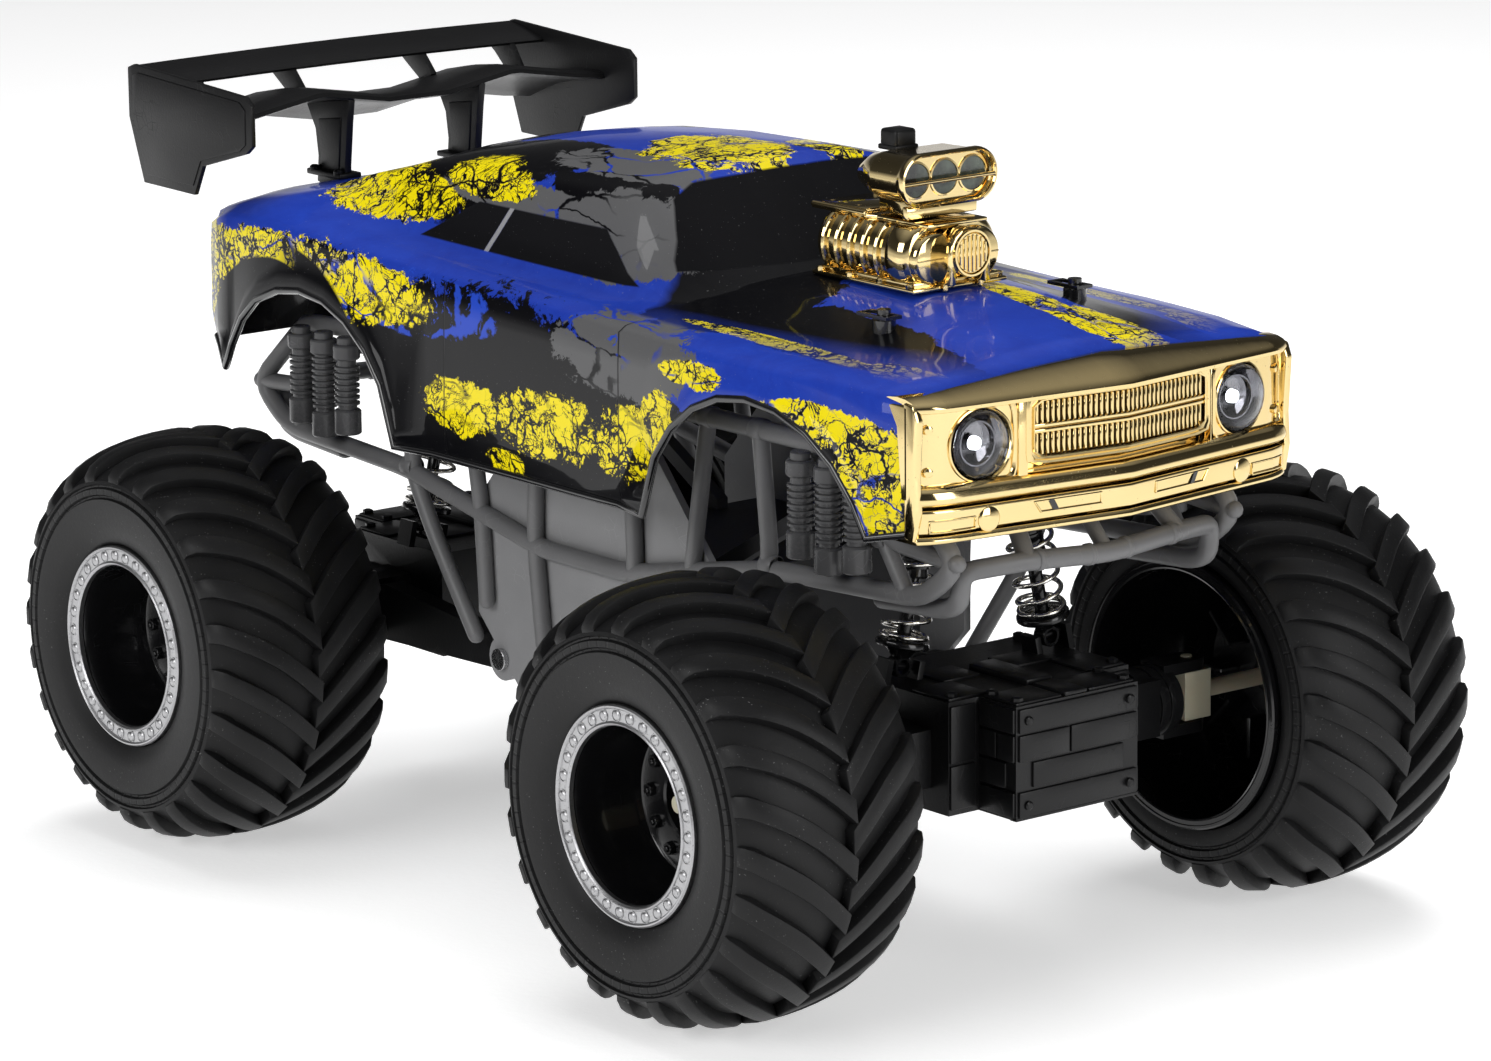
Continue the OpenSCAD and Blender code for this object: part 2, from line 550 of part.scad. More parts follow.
// Ears and pin for a shock's lower eye, which has room to shift between them.
eye_z = -shock_len;
module shock_ears(e) for (s = sides) shock_at(e, s) translate([0, 0, eye_z]) {
    for (k = [-1, 1]) translate([-4, k * 7 - 1.2, -7]) cube([8, 2.4, 9.5]);
    bar_y(1, -7.5, 7.5);
}

module front_axle_housing() color("black") difference() {
    union() {
        housing_shell(1);
        shock_ears(1);
        // Forked ends for the kingpins.
        for (s = sides) translate([wb2, s * king_y, axle_z]) for (k = [-1, 1]) {
            translate([-6, s > 0 ? -16 : 0, k * 11 - 2]) cube([12, 16, 4]);
            translate([0, 0, k * 11 - 2]) cylinder(r = 6, h = 4);
        }
    }
    for (s = sides) translate([wb2, s * king_y, axle_z - 20]) cylinder(r = pin_r + run_gap, h = 40);
    // The tie rod passes through the side walls and the arms.
    translate([wb2 - steer_arm - 6, -king_y, axle_z - 4.5]) cube([13, 2 * king_y, 9]);
}

module rear_axle_housing() color("black") difference() {
    union() {
        housing_shell(-1);
        shock_ears(-1);
    }
    translate([-wb2, 0, axle_z]) bar_y(stub_r + run_gap, -king_y, king_y);
}

// ---------- steering ----------

module steering_servo() color("black") {
    translate([wb2 - 2, -12, axle_z + box_low + wall]) cube([36, 24, 9.5]);
    translate([wb2 + 10, -16, axle_z + box_low + wall]) cube([14, 32, 6]);
    translate([wb2, 0, axle_z - 10]) cylinder(r = 5, h = 6);
    translate([wb2, 0, axle_z - 4.2]) cylinder(r = 1.8, h = 9);
}

horn_t = 3;
module servo_arm() color("white") difference() {
    translate([wb2, 0, axle_z - 3]) union() {
        cylinder(r = 4, h = horn_t);
        translate([-steer_arm, -2, 0]) cube([steer_arm, 4, horn_t]);
        translate([-steer_arm, 0, 0]) cylinder(r = 1.5, h = 6.6);
        translate([-steer_arm, 0, 0]) cylinder(r = 2.4, h = horn_t);
    }
    translate([wb2, 0, axle_z - 6]) cylinder(r = 1.8 + run_gap, h = 12);
}

// The rod's slots leave room for the arms' pins, which swing on an arc.
pin_gap = 0.4;
slot_x = steer_arm * (1 - cos(steer_max)) + 0.1;
module tie_rod() color("white") translate([wb2 - steer_arm, 0, axle_z]) difference() {
    union() {
        translate([-4, -king_y - 3.6, 0.4]) cube([9, 2 * king_y + 7.2, 2.6]);
    }
    for (y = [-king_y, 0, king_y]) hull() for (k = [0, 1])
        translate([-0.1 + k * (slot_x + 0.1), y, -1]) cylinder(r = 1.5 + pin_gap, h = 6, $fn = 32);
}

// Knuckle with its stub axle, kingpin and steering arm, drawn for the left.
module knuckle() color("beige") translate([wb2, king_y, axle_z]) {
    translate([-5, -5, -8.6]) cube([10, 12, 17.2]);
    cylinder(r = pin_r, h = 15, center = true);
    for (k = [-1, 1]) translate([0, 0, k * 11]) cylinder(r = pin_r, h = 5, center = true);
    bar_y(stub_r, 4, hub_y - king_y + 6);
    translate([-steer_arm, -2, -3]) cube([steer_arm, 4, horn_t]);
    translate([-steer_arm, 0, -3]) cylinder(r = 2.4, h = horn_t);
    translate([-steer_arm, 0, -3]) cylinder(r = 1.5, h = 6.6);
}
module knuckle_left() knuckle();
module knuckle_right() mirror([0, 1, 0]) knuckle();

// ---------- wheels ----------

// Half profiles are [distance from the axle, distance out from the tyre's middle].
module tyre(x) translate([x, wheel_y, axle_z]) rotate([-90, 0, 0]) rotate_extrude($fn = 96) {
    h = tyre_w / 2;
    polygon([[ring_r, h - 5], [ring_r, h - 3.6], [ring_r + 8, h - 0.8], [ring_r + 16, h],
        [tyre_r - 14, h - 1], [tyre_r - 8, h - 6], [tyre_r - 2.4, h - 18], [tyre_r - 0.3, h - 30], [tyre_r, 0],
        [tyre_r - 0.3, 30 - h], [tyre_r - 2.4, 18 - h], [tyre_r - 8, 6 - h], [tyre_r - 14, 1 - h],
        [bead_r + 6, -h], [bead_r, 1.4 - h], [bead_r, 5 - h], [bead_r + 5, 4 - h], [tyre_r - 17, 4.5 - h],
        [tyre_r - 10.5, 9 - h], [tyre_r - 5.5, 19 - h], [tyre_r - 3, 0], [tyre_r - 5.5, h - 19],
        [tyre_r - 10.5, h - 9], [tyre_r - 17, h - 4.5], [ring_r + 8, h - 4.5]]);
}
module rim(x, bore_r) translate([x, 0, axle_z]) rotate([-90, 0, 0]) difference() {
    rotate_extrude($fn = 96) {
        // Outer dish, hub disc and wide inner barrel, in one piece.
        polygon([[barrel_r, face_y - 0.4], [ring_r, face_y - 0.4], [ring_r, face_y - 5], [ring_r + 2, face_y - 9],
            [bead_r - 1, inner_y + 26], [bead_r - 1, inner_y + 10], [bead_r, inner_y + 6], [bead_r, inner_y - 2],
            [rim_inner_r, inner_y - 2], [rim_inner_r, inner_y + 24], [ring_r - 1, face_y - 16],
            [barrel_r - 1, hub_y + hub_t], [barrel_r - 1, hub_y + hub_t], [barrel_r - 1, hub_y - hub_t],
            [0.01, hub_y - hub_t], [0.01, hub_y], [12, hub_y], [12, hub_y + 1], [barrel_r - 3, hub_y + 1]]);
    }
    translate([0, 0, hub_y - hub_t - 1]) cylinder(r = bore_r, h = hub_t + 12);
}
module bead_ring(x) translate([x, 0, axle_z]) rotate([-90, 0, 0]) {
    difference() {
        translate([0, 0, face_y - 0.35]) cylinder(r = ring_r, h = 2.6, $fn = 96);
        translate([0, 0, face_y - 2]) cylinder(r = barrel_r, h = 8, $fn = 96);
    }
}
module front_tyre_left() color("black") tyre(wb2);
module front_tyre_right() color("black") mirror([0, 1, 0]) tyre(wb2);
module rear_tyres() color("black") for (s = [0, 1]) mirror([0, s, 0]) tyre(-wb2);
module front_rim_left() color("black") rim(wb2, stub_r + run_gap);
module front_rim_right() color("black") mirror([0, 1, 0]) rim(wb2, stub_r + run_gap);
module rear_rim_left() color("black") rim(-wb2, stub_r);
module rear_rim_right() color("black") mirror([0, 1, 0]) rim(-wb2, stub_r);
module front_ring_left() color("silver") bead_ring(wb2);
module front_ring_right() color("silver") mirror([0, 1, 0]) bead_ring(wb2);
module rear_rings() color("silver") for (s = [0, 1]) mirror([0, s, 0]) bead_ring(-wb2);

// ---------- rear drive ----------

// Involute spur gear. The teeth are thinned a little, so that a pair never binds.
backlash = 0.12;
function involute(rb, t) = rb * [cos(t) + t * PI / 180 * sin(t), sin(t) - t * PI / 180 * cos(t)];
module spur(teeth, w) {
    rp = gear_mod * teeth / 2;
    rb = rp * cos(20);
    ro = rp + gear_mod * 0.9;
    rr = rp - gear_mod * 1.2;
    t_p = sqrt(rp * rp / rb / rb - 1) * 180 / PI;
    t_o = sqrt(ro * ro / rb / rb - 1) * 180 / PI;
    a_p = atan2(involute(rb, t_p)[1], involute(rb, t_p)[0]);
    half = 90 / teeth - backlash / rp * 90 / PI;
    flank = [for (i = [0 : 4]) let (p = involute(rb, t_o * i / 4), r = norm(p), a = atan2(p[1], p[0]) - a_p - half)
        r * [cos(a), sin(a)]];
    foot = [for (s = [-1, 1]) let (a = s * (half + a_p)) rr * [cos(a), sin(a)]];
    tooth = concat([foot[0]], flank, [for (i = [4 : -1 : 0]) [flank[i][0], -flank[i][1]]], [foot[1]]);
    points = [for (i = [0 : teeth - 1]) each [for (p = tooth)
        let (a = 360 * i / teeth) [p[0] * cos(a) - p[1] * sin(a), p[0] * sin(a) + p[1] * cos(a)]]];
    linear_extrude(w) polygon(points);
}

r_small = gear_mod * pinion_teeth / 2;
r_idler = gear_mod * idler_teeth / 2;
r_axle = gear_mod * axle_teeth / 2;
mesh_gap = 0.05;
idler_dir = 160;                          // direction from the axle to the idler
motor_dir = 215;                          // direction from the idler to the motor
idler_at = [-wb2, axle_z] + (r_axle + r_small + mesh_gap) * [cos(idler_dir), sin(idler_dir)];
motor_at = idler_at + (r_idler + r_small + mesh_gap) * [cos(motor_dir), sin(motor_dir)];
gear_y = 22;
// A gear in the X-Z plane at a point, with one tooth's middle along the direction.
module gear_at(at, teeth, y, w, dir) translate([at[0], y + w, at[1]]) rotate([90, 0, 0])
    rotate([0, 0, dir]) spur(teeth, w);

shaft_r = 1.5;
module axle_gear() color("white") difference() {
    union() {
        gear_at([-wb2, axle_z], axle_teeth, gear_y, gear_w, idler_dir);
        translate([-wb2, 0, axle_z]) bar_y(6, gear_y + gear_w - 1, gear_y + gear_w + 5);
    }
    translate([-wb2, 0, axle_z]) bar_y(stub_r, gear_y - 1, gear_y + gear_w + 6);
}
// The small gear's gap faces the axle, and the large gear's tooth faces the motor.
// The idler's small gear ends short of the housing's side wall.
small_w = nose_in - wall - gear_y + 1 - slack;
module idler_gear() color("white") difference() {
    union() {
        gear_at(idler_at, pinion_teeth, gear_y - 1, small_w, idler_dir + 180 + 180 / pinion_teeth);
        gear_at(idler_at, idler_teeth, gear_y - gear_w - 0.6, gear_w, motor_dir);
    }
    translate([idler_at[0], 0, idler_at[1]]) bar_y(shaft_r + run_gap, gear_y - gear_w - 2, gear_y + gear_w + 2);
}
module motor_pinion() color("goldenrod") difference() {
    gear_at(motor_at, pinion_teeth, gear_y - gear_w - 0.4, gear_w - 0.4, motor_dir + 180 + 180 / pinion_teeth);
    translate([motor_at[0], 0, motor_at[1]]) bar_y(1, gear_y - gear_w - 2, gear_y + 2);
}

motor_r = 9.6;
module drive_motor() color("silver") {
    translate([motor_at[0], 0, motor_at[1]]) {
        bar_y(motor_r, gear_y - gear_w - 28, gear_y - gear_w - 3);
        bar_y(3, gear_y - gear_w - 3.1, gear_y - gear_w - 1.6);
        bar_y(1 - run_gap, gear_y - gear_w - 3, gear_y + 1);
    }
    translate([idler_at[0], 0, idler_at[1]]) bar_y(shaft_r, gear_y - gear_w - 1.6, gear_y + gear_w + 2);
}
module rear_axle_shaft() color("silver") translate([-wb2, 0, axle_z]) bar_y(stub_r, -hub_y - 3, hub_y + 3);

// ---------- shocks ----------

// A shock leans outwards towards its foot. Children are drawn hanging down from its top pin.
module shock_at(e, s) translate([e * shock_x, s * shock_top_y, axle_z + shock_top_h]) rotate([s * shock_lean, 0, 0]) children();
body_len = 34;                            // from the top pin to the barrel's mouth
stroke = 10;                              // room in the barrel above the rod
perch_z = -shock_len + 9;
spring_top = -10;
module shock_body(e, s) color("black") shock_at(e, s) difference() {
    union() {
        translate([0, 0, -body_len]) cylinder(r = shock_body_r, h = body_len - 3);
        translate([0, 0, spring_top]) cylinder(r = spring_r + 0.6, h = 2.4);
        bar_y(4.4, -3.4, 3.4);
    }
    translate([0, 0, -body_len - 1]) cylinder(r = 2.4 + run_gap, h = body_len - 7);
    bar_y(pin_r, -8, 8);
}
module shock_rod(e, s) color("black") shock_at(e, s) difference() {
    union() {
        translate([0, 0, eye_z + 3]) cylinder(r = 2.4, h = -eye_z - 3 - 8 - stroke);
        translate([0, 0, perch_z - 2.4]) cylinder(r = spring_r + 0.6, h = 2.4);
        translate([0, 0, eye_z]) bar_y(3.7, -2.8, 2.8);
    }
    translate([0, 0, eye_z]) bar_y(2.5, -8, 8);
}
module shock_spring(e, s) color("silver") shock_at(e, s) difference() {
    translate([0, 0, perch_z + 0.1]) cylinder(r = spring_r, h = spring_top - perch_z - 0.2);
    translate([0, 0, perch_z]) cylinder(r = spring_r - 2 * spring_wire, h = spring_top - perch_z);
}

// ---------- one line for each node ----------

placed() body_shell();
placed() tail_panel();
placed() front_fascia();
placed() headlight_reflectors();
placed() headlight_lenses();
placed() blower_case();
placed() air_scoop();
placed() blower_pulley();
placed() wing_blades();
placed() wing_end_plates();
placed() side_frame_right();
placed() side_frame_left();
placed() side_plate_right();
placed() side_plate_left();
placed() front_bumper();
placed() rear_hoop();
placed() cross_members();
placed() battery_box();
placed() battery_pack();
placed() battery_door();
placed() circuit_board();
placed() power_switch();
placed() dummy_shocks();
placed() body_clips();
placed() chassis_screws();
placed() front_axle_housing();
placed() steering_servo();
placed() servo_arm();
placed() tie_rod();
placed() knuckle_right();
placed() knuckle_left();
placed() front_tyre_right();
placed() front_tyre_left();
placed() front_rim_right();
placed() front_rim_left();
placed() front_ring_right();
placed() front_ring_left();
placed() rear_axle_housing();
placed() drive_motor();
placed() motor_pinion();
placed() idler_gear();
placed() axle_gear();
placed() rear_axle_shaft();
placed() rear_tyres();
placed() rear_rim_right();
placed() rear_rim_left();
placed() rear_rings();
placed() shock_body(1, -1);  // front_shock_body_right
placed() shock_body(1, 1);  // front_shock_body_left
placed() shock_body(-1, -1);  // rear_shock_body_right
placed() shock_body(-1, 1);  // rear_shock_body_left
placed() shock_rod(1, -1);  // front_shock_rod_right
placed() shock_rod(1, 1);  // front_shock_rod_left
placed() shock_rod(-1, -1);  // rear_shock_rod_right
placed() shock_rod(-1, 1);  // rear_shock_rod_left
placed() shock_spring(1, -1);  // front_spring_right
placed() shock_spring(1, 1);  // front_spring_left
placed() shock_spring(-1, -1);  // rear_spring_right
placed() shock_spring(-1, 1);  // rear_spring_left
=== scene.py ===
import bpy, bmesh, json, math
from mathutils import Matrix, Vector


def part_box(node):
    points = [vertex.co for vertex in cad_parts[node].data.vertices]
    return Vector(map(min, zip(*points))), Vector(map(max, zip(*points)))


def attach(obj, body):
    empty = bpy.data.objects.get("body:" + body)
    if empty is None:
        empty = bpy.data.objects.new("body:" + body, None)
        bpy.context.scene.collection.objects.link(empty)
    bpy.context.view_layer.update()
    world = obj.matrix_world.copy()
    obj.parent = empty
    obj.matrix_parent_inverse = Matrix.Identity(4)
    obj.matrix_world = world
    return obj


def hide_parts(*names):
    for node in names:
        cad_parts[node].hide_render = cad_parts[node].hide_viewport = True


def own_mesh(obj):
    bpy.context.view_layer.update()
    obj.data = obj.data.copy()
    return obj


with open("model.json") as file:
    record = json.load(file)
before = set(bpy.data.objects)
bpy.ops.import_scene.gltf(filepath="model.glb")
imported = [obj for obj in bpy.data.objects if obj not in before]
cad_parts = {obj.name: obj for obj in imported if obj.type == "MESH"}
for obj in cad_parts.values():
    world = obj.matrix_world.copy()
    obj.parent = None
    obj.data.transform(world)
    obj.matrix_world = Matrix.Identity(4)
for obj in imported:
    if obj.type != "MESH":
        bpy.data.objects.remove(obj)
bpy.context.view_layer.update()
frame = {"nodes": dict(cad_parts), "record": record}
nodeBody = {n: b for b, members in frame["record"]["behaviour"]["bodies"].items() for n in members}
print("frame loaded:", len(frame["nodes"]), "nodes")

# Lengths below are millimetres, from a point on the ground midway between the axles.
mm = 0.001
frontLow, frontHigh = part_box("front_tyre_left")
rearLow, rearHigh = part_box("rear_tyres")
frontX = (frontLow.x + frontHigh.x) / 2
rearX = (rearLow.x + rearHigh.x) / 2
midX = (frontX + rearX) / 2
halfBase = (frontX - rearX) / 2 / mm
axleZ = (frontLow.z + frontHigh.z) / 2 / mm
wheelY = (frontLow.y + frontHigh.y) / 2 / mm


# Shaders: sums on sockets, and one class that adds nodes.

class Val:
    # wraps a socket, so that sums on it add Math nodes
    def __init__(self, finish, socket):
        self.finish, self.socket = finish, socket

    def op(self, kind, *values, clamp=False):
        return self.finish.add("ShaderNodeMath", {"operation": kind, "use_clamp": clamp},
                               dict(enumerate(values)))

    def __add__(self, other): return self.op("ADD", self, other)
    def __radd__(self, other): return self.op("ADD", other, self)
    def __sub__(self, other): return self.op("SUBTRACT", self, other)
    def __rsub__(self, other): return self.op("SUBTRACT", other, self)
    def __mul__(self, other): return self.op("MULTIPLY", self, other)
    def __rmul__(self, other): return self.op("MULTIPLY", other, self)
    def __truediv__(self, other): return self.op("DIVIDE", self, other)
    def __pow__(self, other): return self.op("POWER", self, other)
    def __abs__(self): return self.op("ABSOLUTE", self)
    def __neg__(self): return self.op("MULTIPLY", self, -1.0)
    def top(self, other): return self.op("MAXIMUM", self, other)
    def low(self, other): return self.op("MINIMUM", self, other)
    def over(self, edge, width): return self.op("MULTIPLY_ADD", self, 1 / width, 0.5 - edge / width,
                                                clamp=True)
    def under(self, edge, width): return self.op("MULTIPLY_ADD", self, -1 / width, 0.5 + edge / width,
                                                 clamp=True)


class Finish:
    # one material: nodes are added with add(), and fixed numbers go straight on the shader
    def __init__(self, name, **fixed):
        self.material = bpy.data.materials.new(name)
        self.material.use_nodes = True
        self.tree = self.material.node_tree
        self.shader = next(n for n in self.tree.nodes if n.type == "BSDF_PRINCIPLED")
        for key, value in fixed.items():
            self.shader.inputs[key.replace("_", " ")].default_value = value
        co = self.add("ShaderNodeTexCoord", out="Object")
        self.place = co
        self.x = (self.part(co, "X") - midX) * 1000
        self.y = self.part(co, "Y") * 1000
        self.z = self.part(co, "Z") * 1000

    def add(self, kind, settings=None, inputs=None, out=0):
        node = self.tree.nodes.new(kind)
        for key, value in (settings or {}).items():
            if key == "stops":
                ramp = node.color_ramp.elements
                while len(ramp) < len(value):
                    ramp.new(0.5)
                for stop, (at, colour) in zip(ramp, value):
                    stop.position, stop.color = at, (*colour, 1)
            else:
                setattr(node, key, value)
        for key, value in (inputs or {}).items():
            if isinstance(value, Val):
                self.tree.links.new(value.socket, node.inputs[key])
            else:
                node.inputs[key].default_value = value
        return Val(self, node.outputs[out])

    def part(self, vector, axis):
        return self.add("ShaderNodeSeparateXYZ", None, {0: vector}, out=axis)

    def noise(self, scale, detail=4.0, rough=0.55, where=None, warp=0.0):
        return self.add("ShaderNodeTexNoise", None, {"Vector": where or self.place, "Scale": scale,
                                                     "Detail": detail,
                        "Roughness": rough, "Distortion": warp}, out=0)

    def cells(self, scale, where=None, feature="DISTANCE_TO_EDGE", chaos=1.0):
        return self.add("ShaderNodeTexVoronoi", {"feature": feature}, {"Vector": where or self.place,
                "Scale": scale,
                        "Randomness": chaos}, out="Distance")

    def mix(self, factor, first, second):
        first = (*first, 1) if isinstance(first, tuple) else first
        second = (*second, 1) if isinstance(second, tuple) else second
        return self.add("ShaderNodeMix", {"data_type": "RGBA"}, {0: factor, 6: first, 7: second}, out=2)

    def shifted(self, amount, scale):
        # object coordinates pushed about by a coloured noise, for ragged edges
        wild = self.add("ShaderNodeTexNoise", None, {"Vector": self.place, "Scale": scale, "Detail": 5.0},
                        out=1)
        centred = self.add("ShaderNodeVectorMath", {"operation": "SUBTRACT"}, {0: wild, 1: (0.5, 0.5, 0.5)})
        scaled = self.add("ShaderNodeVectorMath", {"operation": "SCALE"}, {0: centred, "Scale": amount})
        return self.add("ShaderNodeVectorMath", {"operation": "ADD"}, {0: self.place, 1: scaled})

    def bump(self, height, distance=0.0002, strength=1.0, onto=None):
        inputs = {"Height": height, "Distance": distance, "Strength": strength}
        if onto is not None:
            inputs["Normal"] = onto
        return self.add("ShaderNodeBump", None, inputs)

    def use(self, **sockets):
        for key, value in sockets.items():
            self.tree.links.new(value.socket, self.shader.inputs[key.replace("_", " ")])
        return self.material


def moulded(name, colour, rough=0.45, grain=900.0, depth=0.00006, wear=0.25, dust=0.15, **fixed):
    # injection-moulded plastic: fine grain, slow colour drift, faint scuffs and dust
    f = Finish(name, **{"Specular_IOR_Level": 0.28, **fixed})
    drift = f.noise(26.0, 3.0)
    fine = f.noise(grain, 3.0, 0.6)
    scuff = f.cells(210.0, f.shifted(0.006, 40.0)).under(0.02, 0.02) * f.noise(70.0, 2.0).over(0.6, 0.08)
    speck = f.noise(1500.0, 1.0).over(0.73, 0.04) * dust
    light = tuple(min(1.0, c * 1.5 + 0.012) for c in colour)
    dark = tuple(c * 0.72 for c in colour)
    tone = f.mix(drift, dark, tuple(c * 1.2 for c in colour))
    tone = f.mix((scuff * wear + speck).low(1.0), tone, light)
    return f.use(Base_Color=tone, Roughness=(rough + (drift - 0.5) * 0.16 + (fine - 0.5) * 0.1 + scuff *
                                             0.12).top(0.05),
                 Normal=f.bump(fine + scuff * 0.6, depth))


def plated(name, colour, rough=0.06, **fixed):
    # vacuum-plated plastic: orange peel, tiny pinholes and a warmer tone where it is thin
    f = Finish(name, Metallic=1.0, **fixed)
    peel = f.noise(95.0, 2.0)
    slow = f.noise(18.0, 2.0)
    pin = f.noise(1100.0, 1.0).over(0.76, 0.03)
    tone = f.mix(slow.over(0.5, 0.5), colour, tuple(c * k for c, k in zip(colour, (0.97, 0.93, 0.84))))
    tone = f.mix(pin * 0.5, tone, tuple(c * 0.4 for c in colour))
    return f.use(Base_Color=tone, Roughness=rough + slow * 0.05 + pin * 0.3, Normal=f.bump(peel, 0.00012,
            0.5))


def metal(name, colour, rough=0.28, grain=400.0, **fixed):
    f = Finish(name, Metallic=1.0, **fixed)
    streak = f.noise(grain, 4.0, 0.7)
    pit = f.noise(1300.0, 1.0).over(0.7, 0.06)
    tone = f.mix(streak, tuple(c * 0.72 for c in colour), colour)
    return f.use(Base_Color=f.mix(pit * 0.6, tone, tuple(c * 0.3 for c in colour)), Roughness=rough +
                 (streak - 0.5) * 0.2 + pit * 0.2,
                 Normal=f.bump(streak - pit * 0.5, 0.00004))


paint = {
    "blue": (0.020, 0.066, 0.50), "deepBlue": (0.012, 0.030, 0.30), "yellow": (0.90, 0.74, 0.004),
    "black": (0.003, 0.003, 0.004), "grey": (0.11, 0.11, 0.113), "glass": (0.006, 0.006, 0.007),
    "tear": 55.0, "crack": 95.0, "drop": 190.0}


def splatterPaint():
    f = Finish("splatterPaint", Coat_Roughness=0.03, Specular_IOR_Level=0.06)
    x, y, z = f.x, f.y, f.z
    side = abs(y)
    torn = (f.noise(paint["tear"], 10.0, 0.74, warp=0.8) - 0.5) * 3.2
    fine = (f.noise(paint["drop"], 6.0, 0.72, warp=0.9) - 0.5) * 3.2
    brush = (f.noise(70.0, 6.0, 0.75, where=f.add("ShaderNodeMapping", None,
             {0: f.place, "Scale": (0.35, 1.0, 1.6)})) - 0.5) * 2.0

    def spot(cx, cz, rx, rz):          # an oval seen from the side
        return 1.0 - (((x - cx) / rx) ** 2.0 + ((z - cz) / rz) ** 2.0)

    def patch(cx, cy, rx, ry, mirrored=False):          # an oval seen from above
        across = side if mirrored else y
        return 1.0 - (((x - cx) / rx) ** 2.0 + ((across - cy) / ry) ** 2.0)

    flank = side.over(76.0, 3.0) * z.under(222.0, 4.0)
    above = z.over(214.0, 4.0) * side.under(84.0, 5.0)

    # black: doors and sills, the cowl, the roof's rear edges and the bonnet's near side
    door = spot(-20.0, 176.0, 98.0, 40.0).top(spot(55.0, 168.0, 60.0, 30.0))
    black = (door + torn * 0.5 + fine * 0.22).over(0.0, 0.05) * flank
    quarter = (spot(-150.0, 190.0, 50.0, 16.0) + torn * 0.35).over(0.0, 0.05) * side.over(70.0, 6.0)
    cowl = patch(72.0, 46.0, 34.0, 34.0, True).top(patch(140.0, -56.0, 70.0, 19.0)).top(patch(70.0, 0.0,
            22.0, 60.0))
    cowl = cowl.top(patch(150.0, 44.0, 60.0, 13.0))
    black = black.top((cowl + torn * 0.45 + brush * 0.3).over(0.0, 0.05) * above * x.over(48.0, 4.0) *
                      z.under(232.0, 3.0))
    roofEdge = patch(-72.0, 44.0, 62.0, 22.0, True).top(patch(-120.0, 0.0, 36.0, 40.0)).top(patch(20.0,
            56.0, 40.0, 9.0, True))
    black = black.top((roofEdge + torn * 0.4 + fine * 0.2).over(0.0, 0.05) * z.over(228.0, 4.0))
    black = black.top(quarter)

    # grey: the screen pillars, the front of the doors and a smear on the roof
    grey = (spot(60.0, 203.0, 42.0, 15.0) + torn * 0.6 + fine * 0.3).over(0.1, 0.05) * flank
    grey = grey.top((spot(24.0, 236.0, 34.0, 16.0) + torn * 0.4 + fine * 0.3).over(0.1, 0.05) *
                    side.over(42.0, 4.0))
    grey = grey.top((patch(2.0, 40.0, 44.0, 12.0, True) + torn * 0.6 + brush * 0.5).over(0.1, 0.05) *
                    z.over(243.0, 3.0))
    grey = grey.top((spot(-40.0, 243.0, 46.0, 6.0) + torn * 0.5 + fine * 0.4).over(0.1, 0.06) *
                    side.over(52.0, 3.0))

    # blue runs over the black
    veins = f.cells(26.0, f.shifted(0.03, 60.0))
    runs = (veins.under(0.05, 0.02).top(fine.over(0.3, 0.05))) * (spot(-62.0, 205.0, 50.0, 12.0) + torn *
            0.5).over(0.0, 0.1) * flank
    runs = runs.top((fine + torn * 0.5).over(0.62, 0.05) * (spot(30.0, 214.0, 90.0, 12.0)).over(0.1, 0.2) *
                    flank)

    # yellow: rear quarters, roof sides, door foot, arch edge, front wings and bonnet streaks
    rear = spot(-138.0, 205.0, 92.0, 15.0).top(spot(-196.0, 192.0, 14.0, 20.0)).top(spot(-92.0, 208.0, 34.0,
            9.0))
    yellow = (rear + torn * 0.55 + fine * 0.3).over(0.12, 0.05) * side.over(72.0, 4.0)
    pillar = spot(-112.0, 236.0, 46.0, 10.0).top(spot(-54.0, 246.0, 30.0, 6.5))
    yellow = yellow.top((pillar + torn * 0.4 + fine * 0.35).over(0.1, 0.05) * side.over(44.0, 4.0) *
                        z.over(222.0, 3.0))
    foot = spot(-34.0, 172.0, 28.0, 11.0).top(spot(18.0, 173.0, 36.0, 13.0)).top(spot(60.0, 174.0, 20.0,
            15.0))
    foot = foot.top(spot(-10.0, 156.0, 13.0, 5.0)).top(spot(80.0, 182.0, 12.0, 14.0)).top(spot(96.0, 203.0,
            22.0, 5.0))
    yellow = yellow.top((foot + torn * 0.8 + fine * 0.45).over(0.25, 0.05) * flank)
    nose = spot(186.0, 180.0, 26.0, 20.0).top(spot(160.0, 194.0, 36.0, 9.0))
    yellow = yellow.top((nose + torn * 0.5 + fine * 0.3).over(0.05, 0.05) * flank)
    roof = patch(18.0, -12.0, 40.0, 26.0).top(patch(34.0, 22.0, 20.0, 16.0))
    yellow = yellow.top((roof + torn * 0.6 + brush * 0.7).over(0.3, 0.05) * z.over(247.0, 3.0))
    streak = patch(128.0, 69.0, 66.0, 5.0, True).top(patch(184.0, 66.0, 24.0, 10.0, True))
    streak = streak.top(patch(160.0, 16.0, 62.0, 9.0))
    streak = streak.top(patch(182.0, 26.0, 26.0, 10.0))
    yellow = yellow.top((streak + torn * 0.5 + brush * 0.6).over(0.2, 0.05) * above * x.over(60.0, 4.0) *
                        z.under(233.0, 3.0))
    flecks = fine.over(0.66, 0.04) * (spot(10.0, 216.0, 90.0, 5.0) + torn * 0.4).over(0.0,
            0.1) * side.over(70.0, 4.0)
    yellow = yellow.top(flecks)

